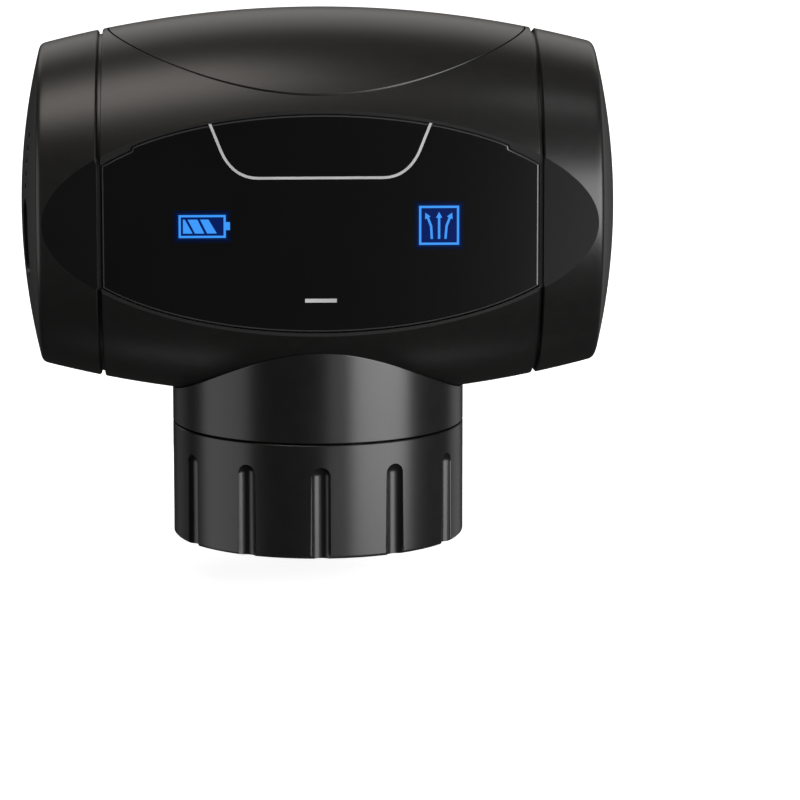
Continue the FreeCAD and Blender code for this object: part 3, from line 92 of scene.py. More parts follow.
def draw(name, points):
    """Draw a line of edges from point to point, the way a vertex is extruded by hand. Leaves edit mode on."""
    begin()
    bpy.ops.mesh.primitive_plane_add(size=0.001, location=points[0])
    piece = bpy.context.object
    piece.name = piece.data.name = name
    bpy.ops.object.transform_apply(location=True, rotation=True, scale=True)
    bpy.ops.object.mode_set(mode="EDIT")
    bpy.ops.mesh.select_mode(type="VERT")
    bpy.ops.mesh.merge(type="CENTER")
    for before, after in zip(points, points[1:]):
        step = Vector(after) - Vector(before)
        bpy.ops.mesh.extrude_region_move(TRANSFORM_OT_translate={"value": step})
    return piece


def spin_closed(name, points, center, axis, steps=SPIN_STEPS):
    """Spin a drawn profile a full turn into a closed skin whose faces point outwards."""
    piece = draw(name, points)
    bpy.ops.mesh.select_all(action="SELECT")
    bpy.ops.mesh.spin(steps=steps, angle=2 * math.pi, center=center, axis=axis)
    bpy.ops.mesh.select_all(action="SELECT")
    bpy.ops.mesh.remove_doubles(threshold=1e-6)
    bpy.ops.mesh.normals_make_consistent(inside=False)
    bpy.ops.object.mode_set(mode="OBJECT")
    return piece


def crown(along, inset=0.0):
    """The barrel's radius at a place along it."""
    return BARREL_RADIUS - CROWN_ARC + math.sqrt((CROWN_ARC - inset) ** 2 - along ** 2)


def crown_line(low, high, inset, count):
    """Points along the crown, in the plane above the axis."""
    spots = [low + (high - low) * index / count for index in range(count + 1)]
    return [(spot, 0, AXIS + crown(spot, inset)) for spot in spots]


def barrel(name, low, high, inset=0.0, soft=0.0, count=28):
    """A length of the barrel as a solid, its end corners softened if asked."""
    line = crown_line(low + soft, high - soft, inset, count)
    left, right = line[0], line[-1]
    points = [(low, 0, AXIS), (low, 0, left[2] - soft)]
    if soft:
        points.append((low + soft * 0.3, 0, left[2] - soft * 0.3))
    points += line
    if soft:
        points.append((high - soft * 0.3, 0, right[2] - soft * 0.3))
    points += [(high, 0, right[2] - soft), (high, 0, AXIS)]
    return spin_closed(name, points, (0, 0, AXIS), (1, 0, 0))


def close_up(piece):
    """Merge doubled points, drop slivers, and close the pinholes that cutting can leave."""
    pick(piece)
    bpy.ops.object.mode_set(mode="EDIT")
    bpy.ops.mesh.select_mode(type="VERT")
    bpy.ops.mesh.select_all(action="SELECT")
    bpy.ops.mesh.remove_doubles(threshold=2e-6)
    bpy.ops.mesh.dissolve_degenerate(threshold=2e-6)
    bpy.ops.mesh.select_all(action="SELECT")
    bpy.ops.mesh.fill_holes(sides=0)
    bpy.ops.mesh.select_all(action="SELECT")
    bpy.ops.mesh.normals_make_consistent(inside=False)
    bpy.ops.object.mode_set(mode="OBJECT")


def slice_front(piece, depth):
    """Cut a piece flat at a depth behind the facet, and close the cut."""
    pick(piece)
    bpy.ops.object.mode_set(mode="EDIT")
    bpy.ops.mesh.select_all(action="SELECT")
    bpy.ops.mesh.bisect(plane_co=(0, FACET + depth, 0), plane_no=(0, -1, 0), use_fill=True, clear_outer=True,
                        threshold=1e-7)
    bpy.ops.object.mode_set(mode="OBJECT")
    close_up(piece)


def carve(piece, *others, how="DIFFERENCE"):
    """Take other solids away from a piece, or join or intersect them, and remove them."""
    for other in others:
        pick(piece)
        tool = piece.modifiers.new("carve", "BOOLEAN")
        tool.object = other
        tool.operation = how
        tool.solver = "EXACT"
        bpy.ops.object.modifier_apply(modifier="carve")
        bpy.data.objects.remove(other)
    close_up(piece)


def oval_block(name, half_x, half_other, upright, low, high, sides=240):
    """A prism with an oval outline, standing up or facing the front."""
    begin()
    middle = (low + high) / 2
    spot = (0, 0, middle) if upright else (0, middle, AXIS)
    turn = (0, 0, 0) if upright else (math.pi / 2, 0, 0)
    bpy.ops.mesh.primitive_cylinder_add(vertices=sides, radius=1, depth=high - low, location=spot, rotation=turn)
    piece = bpy.context.object
    piece.name = name
    piece.scale = (half_x, half_other, 1)
    bpy.ops.object.transform_apply(location=True, rotation=True, scale=True)
    return piece


def finish_shape(piece, angle=28):
    """Smooth shading up to an angle and round the flat front, kept even by weighted normals."""
    pick(piece)
    bpy.ops.object.shade_smooth_by_angle(angle=math.radians(angle))
    fronts = [face for face in piece.data.polygons if face.normal.y < -0.99999]
    keys = {}
    for face in fronts:
        for key in face.edge_keys:
            keys[key] = keys.get(key, 0) + 1
    for edge in piece.data.edges:
        if keys.get(tuple(sorted(edge.vertices))) == 1:
            edge.use_edge_sharp = True
    weigh = piece.modifiers.new("weigh", "WEIGHTED_NORMAL")
    weigh.keep_sharp = True
    bpy.ops.object.modifier_apply(modifier="weigh")


def block(name, low, high):
    """A plain box between two corners, for cutting with."""
    begin()
    low, high = Vector(low), Vector(high)
    bpy.ops.mesh.primitive_cube_add(size=1, location=(low + high) / 2)
    piece = bpy.context.object
    piece.name = name
    piece.scale = high - low
    bpy.ops.object.transform_apply(location=True, rotation=True, scale=True)
    return piece


def rod(name, radius, start, end, sides=64):
    """A round bar between two points."""
    begin()
    start, end = Vector(start), Vector(end)
    turn = (end - start).to_track_quat("Z", "Y").to_euler()
    bpy.ops.mesh.primitive_cylinder_add(vertices=sides, radius=radius, depth=(end - start).length,
                                        location=(start + end) / 2, rotation=turn)
    piece = bpy.context.object
    piece.name = name
    bpy.ops.object.transform_apply(location=True, rotation=True, scale=True)
    return piece


def soften(piece, chosen, width, segments):
    """Bevel the edges whose two ends both pass a test, and no others."""
    pick(piece)
    mesh = piece.data
    for part in list(mesh.vertices) + list(mesh.polygons):
        part.select = False
    for edge in mesh.edges:
        edge.select = all(chosen(mesh.vertices[spot].co) for spot in edge.vertices)
    bpy.context.tool_settings.mesh_select_mode = (False, True, False)
    bpy.ops.object.mode_set(mode="EDIT")
    bpy.ops.mesh.bevel(offset=width, segments=segments, affect="EDGES")
    bpy.ops.object.mode_set(mode="OBJECT")


def plate_from(name, outline, front, back, soft=0.0):
    """A flat plate facing the front, from its outline (x, z), its front edge softened if asked."""
    piece = draw(name, [(x, front, z) for x, z in outline + outline[:1]])
    bpy.ops.mesh.select_all(action="SELECT")
    bpy.ops.mesh.remove_doubles(threshold=1e-7)
    bpy.ops.mesh.select_all(action="SELECT")
    bpy.ops.mesh.edge_face_add()
    bpy.ops.mesh.extrude_region_move(TRANSFORM_OT_translate={"value": (0, back - front, 0)})
    bpy.ops.mesh.select_all(action="SELECT")
    bpy.ops.mesh.normals_make_consistent(inside=False)
    bpy.ops.object.mode_set(mode="OBJECT")
    if soft:
        soften(piece, lambda spot: abs(spot.y - front) < 1e-6, soft, 2)
    return piece


def panel_outline(inset, end, count=40):
    """The panel's edge: an oval cut off square at the seams, stepped in at its two upper corners."""
    step = STEP_PLACE - inset
    length, height = RECESS_LENGTH - inset, RECESS_HEIGHT - inset

    def rise(x, low=0.0):
        return (height - low) * math.sqrt(1 - (x / (length - low)) ** 2)

    upper = [(end, rise(end, STEP_DEPTH)), ((end + step) / 2, rise((end + step) / 2, STEP_DEPTH)),
             (step + 0.00015, rise(step, STEP_DEPTH)), (step, rise(step, STEP_DEPTH) + 0.00015),
             (step, rise(step) - 0.00015), (step - 0.00015, rise(step))]
    middle = [(step * (1 - 2 * index / count), rise(step * (1 - 2 * index / count)))
              for index in range(1, count)]
    lower = [(end * (2 * index / count - 1), -rise(end * (2 * index / count - 1))) for index in range(count + 1)]
    mirrored = [(-x, z) for x, z in reversed(upper)]
    return [(x, AXIS + z) for x, z in upper + middle + mirrored + lower]


shell = barrel("barrel_shell", -SEAM_EDGE, SEAM_EDGE, soft=SOFT_EDGE)
slice_front(shell, 0)
hollow = barrel("hollow", -SEAM_EDGE - PAST, SEAM_EDGE + PAST, SHELL_WALL, count=8)
slice_front(hollow, LEDGE_WALL)
recess = plate_from("recess", panel_outline(0, SEAM_EDGE + PAST), FACET - PAST, PANEL_BACK)
window_low, window_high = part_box("light_mask")
window = block("window", (window_low.x - 0.0001, PANEL_BACK - 0.0005, window_low.z - 0.0001),
               (window_high.x + 0.0001, FACET + LEDGE_WALL + PAST, window_high.z + 0.0001))
opening = oval_block("opening", PLATE_LENGTH + PLATE_GAP, PLATE_WIDTH + PLATE_GAP, True,
                     AXIS + OPENING_FLOOR, AXIS + ABOVE_ALL)
throat = rod("throat", THROAT_RADIUS, (0, 0, 0.01), (0, 0, AXIS), sides=120)
carve(shell, hollow, recess, window, opening, throat)
finish_shape(shell)
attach(shell, "casing")
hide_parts("main_shell")

# End caps: domed covers that carry the barrel's line on past the seams, with the facet running across them.
# A narrow step under each seam keeps the groove shallow; the left one has the charging slot and five vents.

CAP_START = SEAM_EDGE + 0.0006
CAP_WALL = 0.0018
RIM = 0.0410
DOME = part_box("right_end_cap")[1].x - RIM
SEAM_DEPTH = 0.0007
RIM_ROUND = 0.0007
SLOT_HALF_WIDTH = 0.0025
SLOT_HALF_HEIGHT = 0.0058
SLOT_DEPTH = 0.0028
VENT_RADIUS = 0.0006
FIRST_VENT = 0.0043
VENT_STEP = 0.00185
VENTS = 5
PAST_END = -0.06


def capped(name, side, start, inset, soft=0.0, rim_round=0.0):
    """The barrel's form from a place near its end to the domed face, on one side."""
    rim = RIM - inset
    line = crown_line(start + soft, rim - rim_round, inset, 16)
    points = [(start, 0, AXIS), (start, 0, line[0][2] - soft)] if soft else [(start, 0, AXIS)]
    points += line
    edge = crown(rim, inset)
    arc = (edge ** 2 + DOME ** 2) / (2 * DOME)
    corner = Vector((rim, 0, AXIS + edge))
    dome = []
    for index in range(17):
        out = (edge - rim_round) * (1 - index / 16)
        dome.append((rim + DOME - arc + math.sqrt(arc ** 2 - out ** 2), 0, AXIS + out))
    if rim_round:
        first, last = Vector(line[-1]), Vector(dome[0])
        for part in (0.2, 0.4, 0.6, 0.8):
            points.append(tuple(first * (1 - part) ** 2 + corner * 2 * part * (1 - part) + last * part ** 2))
    points += dome
    return spin_closed(name, [(side * x, y, z) for x, y, z in points], (0, 0, AXIS), (1, 0, 0))


def end_cap(name, side, node):
    """One end cap, from its outer form, the step under the seam, and its hollow."""
    cap = capped(name, side, CAP_START, 0, soft=SOFT_EDGE, rim_round=RIM_ROUND)
    slice_front(cap, 0)
    step = capped(name + "_step", side, SEAM_EDGE, SEAM_DEPTH)
    slice_front(step, SEAM_DEPTH)
    inside = capped(name + "_inside", side, SEAM_EDGE - PAST, CAP_WALL)
    slice_front(inside, CAP_WALL)
    carve(cap, step, how="UNION")
    carve(cap, inside)
    if side < 0:
        low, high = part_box("charging_socket")
        front, level = (low.y + high.y) / 2, (low.z + high.z) / 2
        straight, bottom = SLOT_HALF_HEIGHT - SLOT_HALF_WIDTH, -RIM + SLOT_DEPTH
        slot = block("slot", (PAST_END, front - SLOT_HALF_WIDTH, level - straight),
                     (bottom, front + SLOT_HALF_WIDTH, level + straight))
        ends = [rod("slot_end", SLOT_HALF_WIDTH, (PAST_END, front, level + up), (bottom, front, level + up), 48)
                for up in (-straight, straight)]
        carve(slot, *ends, how="UNION")
        vents = []
        for index in range(VENTS):
            height = AXIS + FIRST_VENT + VENT_STEP * index
            vents.append(rod("vent", VENT_RADIUS, (PAST_END, front, height), (bottom, front, height), 24))
        carve(cap, slot, *vents)
    finish_shape(cap)
    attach(cap, "casing")
    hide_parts(node)


end_cap("left_cap", -1, "left_end_cap")
end_cap("right_cap", 1, "right_end_cap")

# Release cover: the oval lid on top, which follows the barrel's curve and shows as a fine dark line.
# Its two pins go down into guides, so that it can be pressed to let the vacuum out.

PIN_RADIUS = 0.0016
PIN_PLACE = 0.021
cover = barrel("release_cover", -PLATE_LENGTH - PAST, PLATE_LENGTH + PAST)
carve(cover, oval_block("cover_outline", PLATE_LENGTH, PLATE_WIDTH, True, AXIS, AXIS + ABOVE_ALL), how="INTERSECT")
carve(cover, barrel("cover_inside", -PLATE_LENGTH - 0.002, PLATE_LENGTH + 0.002, CAP_WALL, count=12))
pin_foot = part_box("release_plate")[0].z
carve(cover, *[rod("cover_pin", PIN_RADIUS, (along, 0, pin_foot), (along, 0, AXIS + crown(along) - 0.0009), 48)
               for along in (-PIN_PLACE, PIN_PLACE)], how="UNION")
finish_shape(cover)
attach(cover, "release")
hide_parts("release_plate")

# Touch panel: a polished black plate let into the facet, with a fine chamfer all round its front edge.
# It lies a hair behind the facet, so that the signs on it stay within the facet's plane.

PANEL_FRONT = FACET + 0.00005
panel = plate_from("touch_panel", panel_outline(0.0002, PANEL_END, 64), PANEL_FRONT, PANEL_BACK, soft=0.00022)
finish_shape(panel, 20)
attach(panel, "casing")
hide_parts("display_panel")

# Signs on the panel: a silver line that dips in the middle, a short silver dash, and two lit blue signs with painted
# glow round them.
# Each sign and its painted glow is cut from thin flat tiles that lie on the panel.

TILE_FRONT = PANEL_FRONT - 0.00003
silver_signs = []
blue_signs = []
inner_glow_tiles = []
near_glow = []
far_glow = []


def tile(outline, kind, lift=0.0):
    """A thin flat tile on the panel, from its outline in millimetres right of the middle and above the axis."""
    points = [(x / 1000, AXIS + z / 1000) for x, z in outline]
    kind.append(plate_from("tile", points, TILE_FRONT + lift, PANEL_FRONT + 0.00001))


def ribbon(points, width):
    """The outline of an even line through points."""
    left, right = [], []
    for index, spot in enumerate(points):
        here = Vector(spot)
        back = (here - Vector(points[index - 1])).normalized() if index else None
        ahead = (Vector(points[index + 1]) - here).normalized() if index < len(points) - 1 else back
        back = back or ahead
        side = Vector((-(back + ahead).y, (back + ahead).x)).normalized()
        reach = width / 2 / max(side.dot(Vector((-back.y, back.x))), 0.5)
        left.append(tuple(here + side * reach))
        right.append(tuple(here - side * reach))
    return left + right[::-1]


def bend(start, corner, end, count=8):
    """Points along a smooth turn from start to end, pulled towards a corner."""
    start, corner, end = Vector(start), Vector(corner), Vector(end)
    spots = []
    for index in range(count + 1):
        part = index / count
        spots.append(tuple(start * (1 - part) ** 2 + corner * 2 * part * (1 - part) + end * part ** 2))
    return spots


half_line = [(15.93, 14.68), (14.5, 11.1)] + bend((14.3, 10.6), (12.6, 6.7), (8.9, 6.7), 12)
tile(ribbon([(-x, z) for x, z in half_line] + half_line[::-1], 0.39), silver_signs)
tile([(-2.3, -11.48), (2.3, -11.48), (2.3, -10.92), (-2.3, -10.92)], silver_signs)


def frame_of(left, right, low, high, line):
    """A rectangle's outline in tiles that don't overlap."""
    for outline in (
        [(left, high - line), (right, high - line), (right, high), (left, high)],
        [(left, low), (right, low), (right, low + line), (left, low + line)],
        [(left, low + line), (left + line, low + line), (left + line, high - line), (left, high - line)],
        [(right - line, low + line), (right, low + line), (right, high - line), (right - line, high - line)],
    ):
        tile(outline, blue_signs)


def arrow(points, width, half, length):
    """An arrow along points to its tip."""
    tip, before = Vector(points[-1]), Vector(points[-2])
    ahead = (tip - before).normalized()
    side = Vector((-ahead.y, ahead.x)) * half
    base = tip - ahead * length
    tile(ribbon(points[:-1] + [tuple(base)], width), blue_signs)
    tile([tuple(base + side), tuple(base - side), tuple(tip)], blue_signs)


frame_of(-20.5, -13.7, -1.94, 1.4, 0.32)
tile([(-13.7, -0.81), (-13.1, -0.81), (-13.1, 0.36), (-13.7, 0.36)], blue_signs)
for bar in (
    [(-19.87, 0.74), (-19.6, 0.74), (-18.5, -1.29), (-19.87, -1.29)],
    [(-19.2, 0.74), (-17.8, 0.74), (-16.8, -1.29), (-18.15, -1.29)],
    [(-17.4, 0.74), (-16.2, 0.74), (-15.0, -1.29), (-16.4, -1.29)],
):
    tile(bar, blue_signs)
frame_of(14.2, 20.0, -3.13, 2.57, 0.33)
arrow([(17.1, -2.26), (17.1, 1.67)], 0.34, 0.45, 0.85)
arrow([(16.05, -2.26), (15.94, -0.38), (15.56, 0.62), (15.1, 1.57)], 0.34, 0.45, 0.85)
arrow([(18.02, -2.26), (18.18, -0.38), (18.6, 0.72), (19.0, 1.57)], 0.34, 0.45, 0.85)
# Each lit sign gets emitting tiles of painted glow on the panel: a dim blue field inside its frame and two fainter
# rings outside it.
for left, right, low, high in ((-20.5, -13.7, -1.94, 1.4), (14.2, 20.0, -3.13, 2.57)):
    for reach, kind, lift in ((-0.3, inner_glow_tiles, 0.000012), (0.3, near_glow, 0.000018), (0.7, far_glow, 0.000024)):
        tile([(left - reach, low - reach), (right + reach, low - reach),
              (right + reach, high + reach), (left - reach, high + reach)], kind, lift)


def merge(name, kind):
    """Join the tiles of one kind into one piece."""
    pick(kind[0])
    for piece in kind:
        piece.select_set(True)
    bpy.ops.object.join()
    whole = bpy.context.object
    whole.name = whole.data.name = name
    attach(whole, "casing")
    return whole


silver = merge("silver_signs", silver_signs)
blue = merge("blue_signs", blue_signs)
inner_glow = merge("sign_fields", inner_glow_tiles)
near = merge("near_glow", near_glow)
far = merge("far_glow", far_glow)

# Neck: a smooth round sleeve whose top edge is saddled to the barrel, with a fine softened edge along it.
# Below, it goes on as the thinner threaded tube that the ring screws over.

NECK_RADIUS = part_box("neck_sleeve")[1].x
NECK_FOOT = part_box("grip_ring")[1].z + 0.00025
THREAD_RADIUS = 0.0189
THREAD_INNER = 0.0177
NECK_WALL = 0.0020
CHANNEL = 0.0030
FLOOR_TOP = NECK_FOOT + 0.0024
SADDLE_START = 0.0215
thread_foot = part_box("neck_sleeve")[0].z
neck = spin_closed("neck", [(x, 0, z) for x, z in (
    (NECK_RADIUS - 0.0001, NECK_FOOT), (NECK_RADIUS, NECK_FOOT + 0.0001), (NECK_RADIUS, SADDLE_START),
    (NECK_RADIUS - NECK_WALL, SADDLE_START), (NECK_RADIUS - NECK_WALL, FLOOR_TOP), (CHANNEL, FLOOR_TOP),
    (CHANNEL, NECK_FOOT), (THREAD_INNER, NECK_FOOT), (THREAD_INNER, thread_foot), (THREAD_RADIUS, thread_foot),
    (THREAD_RADIUS, NECK_FOOT), (NECK_RADIUS - 0.0001, NECK_FOOT))], (0, 0, 0), (0, 0, 1))
top_group = neck.vertex_groups.new(name="saddle")
top_group.add([spot.index for spot in neck.data.vertices if abs(spot.co.z - SADDLE_START) < 1e-6], 1, "REPLACE")
form = barrel("form", -0.03, 0.03, -0.00005)
pick(neck)
wrap = neck.modifiers.new("wrap", "SHRINKWRAP")
wrap.target = form
wrap.wrap_method = "PROJECT"
wrap.use_project_z = True
wrap.use_positive_direction = True
wrap.vertex_group = "saddle"
bpy.ops.object.modifier_apply(modifier="wrap")
bpy.data.objects.remove(form)
soften(neck, lambda spot: spot.z > SADDLE_START + 1e-5 and spot.xy.length > NECK_RADIUS - 0.0001, 0.0003, 3)
finish_shape(neck)
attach(neck, "casing")
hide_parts("neck_sleeve")

# Grip ring: a turned ring with twelve round-bottomed flutes, open at its lower edge and round at the top.
# The flutes are carved with round-ended bars, and their edges softened.

RING_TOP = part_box("grip_ring")[1].z
BORE = 0.0159
FLUTE_TOP = 0.0138
FLUTE_RADIUS = 0.00155
FLUTE_DEPTH = 0.0010
FLUTES = 12
THREAD_HOLE = 0.0190
BORE_LENGTH = 0.0080
FLUTE_MIDDLE = NECK_RADIUS - FLUTE_DEPTH + FLUTE_RADIUS
ring = spin_closed("grip", [(x, 0, z) for x, z in (
    (BORE, 0.0002), (BORE + 0.0002, 0), (NECK_RADIUS - 0.0005, 0), (NECK_RADIUS - 0.00025, 0.00006),
    (NECK_RADIUS - 0.00006, 0.00025), (NECK_RADIUS, 0.0005), (NECK_RADIUS, FLUTE_TOP + 0.0004),
    (NECK_RADIUS, RING_TOP - 0.00012), (NECK_RADIUS - 0.00012, RING_TOP), (THREAD_HOLE, RING_TOP),
    (THREAD_HOLE, BORE_LENGTH), (BORE, BORE_LENGTH), (BORE, 0.0002))], (0, 0, 0), (0, 0, 1))
flute_line = [(0, -0.001), (FLUTE_RADIUS, -0.001)] + [
    (FLUTE_RADIUS * math.cos(turn), FLUTE_TOP - FLUTE_RADIUS + FLUTE_RADIUS * math.sin(turn))
    for turn in (math.radians(9 * step) for step in range(11))]
flutes = []
for number in range(FLUTES):
    turn = 2 * math.pi / FLUTES * number
    x, y = FLUTE_MIDDLE * math.cos(turn), FLUTE_MIDDLE * math.sin(turn)
    flutes.append(spin_closed("flute", [(x + out, y, z) for out, z in flute_line], (x, y, 0), (0, 0, 1), 48))
pick(flutes[0])
for flute in flutes:
    flute.select_set(True)
bpy.ops.object.join()
carve(ring, bpy.context.object)


def on_flute_edge(spot):
    """True along the straight edges where a flute's surface meets the ring's outer face."""
    apart = 2 * math.pi / FLUTES
    turn = round(math.atan2(spot.y, spot.x) / apart) * apart
    middle = Vector((FLUTE_MIDDLE * math.cos(turn), FLUTE_MIDDLE * math.sin(turn)))
    return (abs((spot.xy - middle).length - FLUTE_RADIUS) < 0.00002 and spot.xy.length > NECK_RADIUS - 0.00001
            and 0.0004 < spot.z < FLUTE_TOP - FLUTE_RADIUS + 0.00001)


soften(ring, on_flute_edge, 0.00014, 2)
finish_shape(ring)
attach(ring, "ring")
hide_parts("grip_ring")

# Finishes: each is a procedural material in the piece's own coordinates, a broken colour and a fine relief.
# The CAD parts inside take theirs by their material slot.


def finish(name, colour, roughness, metallic=0.0, grain=1500, relief=0.00001, tint=0.12, stretch=(1, 1, 1),
           coat=0.0, glow=None):
    """A finish with a broken colour and a fine relief."""
    made = bpy.data.materials.new(name)
    made.use_nodes = True
    tree = made.node_tree
    shader = tree.nodes["Principled BSDF"]
    place = tree.nodes.new("ShaderNodeTexCoord")
    scale = tree.nodes.new("ShaderNodeMapping")
    scale.inputs["Scale"].default_value = stretch
    cloud = tree.nodes.new("ShaderNodeTexNoise")
    cloud.inputs["Scale"].default_value = grain / 6
    cloud.inputs["Detail"].default_value = 4
    tones = tree.nodes.new("ShaderNodeValToRGB")
    tones.color_ramp.elements[0].position = 0.3
    tones.color_ramp.elements[1].position = 0.7
    tones.color_ramp.elements[0].color = (*[part * (1 - tint) for part in colour], 1)
    tones.color_ramp.elements[1].color = (*[min(part * (1 + tint), 1) for part in colour], 1)
    fine = tree.nodes.new("ShaderNodeTexNoise")
    fine.inputs["Scale"].default_value = grain
    fine.inputs["Detail"].default_value = 3
    bump = tree.nodes.new("ShaderNodeBump")
    bump.inputs["Strength"].default_value = 1
    bump.inputs["Distance"].default_value = relief
    tree.links.new(place.outputs["Object"], scale.inputs["Vector"])
    tree.links.new(scale.outputs["Vector"], cloud.inputs["Vector"])
    tree.links.new(scale.outputs["Vector"], fine.inputs["Vector"])
    tree.links.new(cloud.outputs["Fac"], tones.inputs["Fac"])
    tree.links.new(tones.outputs["Color"], shader.inputs["Base Color"])
    tree.links.new(fine.outputs["Fac"], bump.inputs["Height"])
    tree.links.new(bump.outputs["Normal"], shader.inputs["Normal"])
    shader.inputs["Roughness"].default_value = roughness
    shader.inputs["Metallic"].default_value = metallic
    shader.inputs["Coat Weight"].default_value = coat
    shader.inputs["Coat Roughness"].default_value = 0.05
    if glow:
        shader.inputs["Emission Color"].default_value = (*glow[0], 1)
        shader.inputs["Emission Strength"].default_value = glow[1]
    return made


finishes = {
    "shell_plastic": finish("matt_black", (0.010, 0.0096, 0.0093), 0.34, grain=3600, relief=0.000008),
    "neck_plastic": finish("satin_black", (0.009, 0.0089, 0.0089), 0.28, grain=2600, relief=0.000004),
    "panel_acrylic": finish("gloss_black", (0.0035, 0.0035, 0.0037), 0.13, grain=400, relief=0.0, coat=0.3),
    "seal_silicone": finish("seal_grey", (0.26, 0.26, 0.27), 0.55, grain=900, relief=0.00001),
    "black_rubber": finish("rubber", (0.02, 0.02, 0.02), 0.6, grain=1400, relief=0.00002),
    "inner_plastic": finish("inner_grey", (0.09, 0.09, 0.095), 0.5, grain=1800, relief=0.00001),
    "white_plastic": finish("inner_white", (0.72, 0.72, 0.70), 0.45, grain=1500, relief=0.000008),
    "circuit_board": finish("board_green", (0.012, 0.10, 0.04), 0.32, grain=700, relief=0.00002, tint=0.3, coat=0.4),
    "chip_black": finish("chip", (0.022, 0.022, 0.023), 0.5, grain=3000, relief=0.00001),
    "lamp_lens": finish("lens", (0.8, 0.84, 0.9), 0.18, grain=500, relief=0.0, coat=0.5),
    "spring_steel": finish("drawn_steel", (0.56, 0.55, 0.54), 0.28, 1.0, 2200, 0.000006, stretch=(1, 1, 0.2)),
    "steel": finish("plated_steel", (0.58, 0.58, 0.6), 0.26, 1.0, 2600, 0.000006, stretch=(0.1, 1, 1)),
    "brass": finish("turned_brass", (0.72, 0.53, 0.24), 0.25, 1.0, 2600, 0.000006, stretch=(0.2, 1, 1)),
    "magnet": finish("ferrite", (0.07, 0.07, 0.075), 0.6, grain=2000, relief=0.00002, tint=0.25),
    "cell_foil": finish("foil", (0.66, 0.67, 0.7), 0.35, 0.9, 350, 0.00008, tint=0.06),
    "foam": finish("foam_black", (0.035, 0.035, 0.037), 0.9, grain=1300, relief=0.0002, tint=0.5),
    "hose_silicone": finish("hose_white", (0.66, 0.66, 0.62), 0.4, grain=900, relief=0.000006),
    "lead_red": finish("lead_red", (0.5, 0.02, 0.015), 0.4, grain=900, relief=0.000006),
}
for node_name, node in nodes.items():
    node.data.materials.clear()
    node.data.materials.append(finishes[slots[node_name]])
for piece_name, slot_name in (
    ("barrel_shell", "shell_plastic"), ("left_cap", "shell_plastic"), ("right_cap", "shell_plastic"),
    ("release_cover", "shell_plastic"), ("touch_panel", "panel_acrylic"), ("neck", "neck_plastic"),
    ("grip", "neck_plastic"),
):
    painted = bpy.data.objects[piece_name]
    painted.data.materials.clear()
    painted.data.materials.append(finishes[slot_name])
# The chamfer faces round the panel's front get a lighter grey than the panel: a painted highlight for the thin line
# of light along its edge.
painted_edge_highlight = finish("painted_edge_highlight", (0.05, 0.05, 0.052), 0.25, grain=400, relief=0.0)
panel.data.materials.append(painted_edge_highlight)
for face in panel.data.polygons:
    if face.normal.y > -0.98 and face.center.y < PANEL_FRONT + 0.00022:
        face.material_index = 1
# The flat facets on the caps get a glossier copy of the shell's black, painted darker: painted shade on these
# front-facing flats.
glossy_facet_shade = finish("glossy_facet_painted_shade", (0.004, 0.004, 0.0042), 0.2, grain=400, relief=0.0)
for piece_name in ("left_cap", "right_cap"):
    cap = bpy.data.objects[piece_name]
    cap.data.materials.append(glossy_facet_shade)
    for face in cap.data.polygons:
        if face.normal.y < -0.99999 and abs(face.center.y - FACET) < 1e-5:
            face.material_index = 1
for piece, made in (
    (silver, finish("silver_print", (0.62, 0.62, 0.62), 0.35, 0.3, relief=0.0)),
    (blue, finish("lit_blue", (0.004, 0.01, 0.03), 0.2, relief=0.0, glow=((0.045, 0.33, 1.0), 0.96))),
    # These three glow finishes paint the light of the signs onto the panel, fainter further out.
    (inner_glow, finish("lit_field", (0.001, 0.002, 0.006), 0.13, relief=0.0, glow=((0.0, 0.010, 0.105), 1.0))),
    (near, finish("near_glow", (0.001, 0.002, 0.006), 0.13, relief=0.0, glow=((0.0, 0.007, 0.055), 1.0))),
    (far, finish("far_glow", (0.001, 0.002, 0.006), 0.13, relief=0.0, glow=((0.0, 0.002, 0.014), 1.0))),
):
    piece.data.materials.clear()
    piece.data.materials.append(made)

# Stage: a pale floor, seen white far from the object and painted dimmer near it as painted shade, just below where
# the ring comes down to, and a white world behind.
# The floor lets mirrored rays through, so that only the lamps show in the black plastic.

RING_TRAVEL = 0.0060
bpy.ops.mesh.primitive_plane_add(size=4, location=(0, 0, -RING_TRAVEL - 0.0003))
floor = bpy.context.object
floor.name = "floor"
paper = bpy.data.materials.new("paper")
paper.use_nodes = True
tree = paper.node_tree
cover_shader = tree.nodes["Principled BSDF"]
cover_shader.inputs["Base Color"].default_value = (0.9, 0.9, 0.9, 1)
cover_shader.inputs["Roughness"].default_value = 0.9
white_light = tree.nodes.new("ShaderNodeEmission")
white_light.inputs["Color"].default_value = (1, 1, 1, 1)
spot_here = tree.nodes.new("ShaderNodeTexCoord")
how_far = tree.nodes.new("ShaderNodeVectorMath")
how_far.operation = "LENGTH"
# The floor's glow is painted dimmer within a few centimetres of the object and rises to full white further off:
# painted shade round the object.
painted_floor_shade = tree.nodes.new("ShaderNodeMapRange")
painted_floor_shade.inputs["From Min"].default_value = 0.08
painted_floor_shade.inputs["From Max"].default_value = 0.35
painted_floor_shade.inputs["To Min"].default_value = 0.86
painted_floor_shade.inputs["To Max"].default_value = 1.0
tree.links.new(spot_here.outputs["Object"], how_far.inputs[0])
tree.links.new(how_far.outputs["Value"], painted_floor_shade.inputs["Value"])
tree.links.new(painted_floor_shade.outputs["Result"], white_light.inputs["Strength"])
both = tree.nodes.new("ShaderNodeAddShader")
clear = tree.nodes.new("ShaderNodeBsdfTransparent")
pick_shader = tree.nodes.new("ShaderNodeMixShader")
rays = tree.nodes.new("ShaderNodeLightPath")
tree.links.new(cover_shader.outputs["BSDF"], both.inputs[0])
tree.links.new(white_light.outputs["Emission"], both.inputs[1])
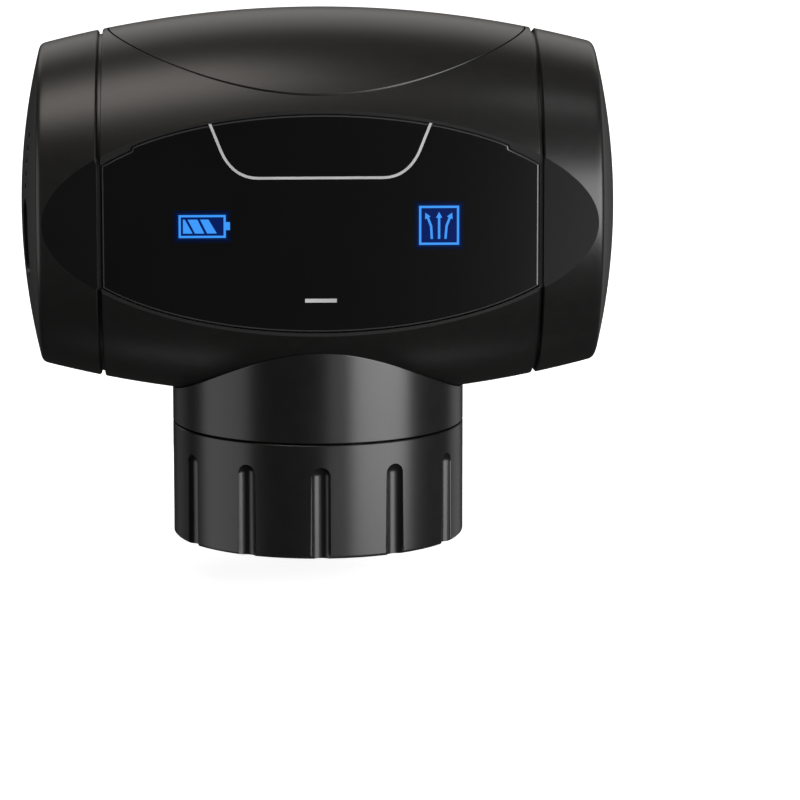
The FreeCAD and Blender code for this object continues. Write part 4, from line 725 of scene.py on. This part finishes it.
tree.links.new(rays.outputs["Is Camera Ray"], pick_shader.inputs["Fac"])
tree.links.new(clear.outputs["BSDF"], pick_shader.inputs[1])
tree.links.new(both.outputs["Shader"], pick_shader.inputs[2])
tree.links.new(pick_shader.outputs["Shader"], tree.nodes["Material Output"].inputs["Surface"])
floor.data.materials.append(paper)

world = bpy.data.worlds.new("world")
world.use_nodes = True
tree = world.node_tree
dim = tree.nodes["Background"]
dim.inputs["Color"].default_value = (1, 0.98, 0.96, 1)
dim.inputs["Strength"].default_value = 0.03
bright = tree.nodes.new("ShaderNodeBackground")
bright.inputs["Color"].default_value = (1, 1, 1, 1)
bright.inputs["Strength"].default_value = 1
mixed = tree.nodes.new("ShaderNodeMixShader")
rays = tree.nodes.new("ShaderNodeLightPath")
tree.links.new(rays.outputs["Is Camera Ray"], mixed.inputs["Fac"])
tree.links.new(dim.outputs["Background"], mixed.inputs[1])
tree.links.new(bright.outputs["Background"], mixed.inputs[2])
tree.links.new(mixed.outputs["Shader"], tree.nodes["World Output"].inputs["Surface"])
bpy.context.scene.world = world

# Lamps: a broad soft box at the right, a weaker one at the left, and small ones above, below and behind
# that draw thin lines of light along the edges.


def lamp(name, spot, size, power, colour=(1, 1, 1), aim=(0, 0, 0.045)):
    """A soft box at a spot, turned towards the object."""
    light = bpy.data.lights.new(name, "AREA")
    light.shape = "RECTANGLE"
    light.size, light.size_y = size
    light.energy = power
    light.color = colour
    made = bpy.data.objects.new(name, light)
    made.location = spot
    made.rotation_euler = (Vector(spot) - Vector(aim)).to_track_quat("Z", "Y").to_euler()
    bpy.context.scene.collection.objects.link(made)


lamp("right_box", (0.755, -0.656, 0.12), (0.92, 0.72), 14)
lamp("left_box", (-0.98, -0.17, 0.0), (0.85, 1.0), 3.5)
lamp("front_box", (0.20, -0.96, -0.15), (0.16, 0.28), 0.22)
lamp("top_left", (-0.32, -0.10, 0.93), (0.40, 0.6), 2.9, (1, 0.94, 0.87))
lamp("top_line", (0, -0.25, 0.97), (1.0, 0.12), 0.15)
lamp("top_right", (0.43, -0.16, 0.89), (0.10, 0.10), 0.22)
lamp("low_line", (0, 0.2, -0.95), (0.5, 0.08), 0.16)
lamp("back_top", (0, 0.80, 0.59), (1.3, 0.6), 2.15, (1, 0.98, 0.94))
lamp("right_back", (0.62, 0.72, -0.05), (0.4, 0.6), 0.3)
lamp("left_back", (-0.62, 0.72, -0.05), (0.4, 0.6), 0.1)

# Camera: a long lens a little above the object and slightly to its left, with the object at the upper left
# of the frame.

target = Vector((0.01236, 0, 0.0197))
azimuth, elevation, distance = math.radians(-2.2), math.radians(10.44), 0.7
back = Vector((math.sin(azimuth) * math.cos(elevation), -math.cos(azimuth) * math.cos(elevation),
               math.sin(elevation)))
camera_data = bpy.data.cameras.new("camera")
camera_data.lens = 209.1
camera = bpy.data.objects.new("camera", camera_data)
camera.location = target + back * distance
camera.rotation_euler = back.to_track_quat("Z", "Y").to_euler()
bpy.context.scene.collection.objects.link(camera)
bpy.context.scene.camera = camera
bpy.context.scene.view_settings.view_transform = "Standard"
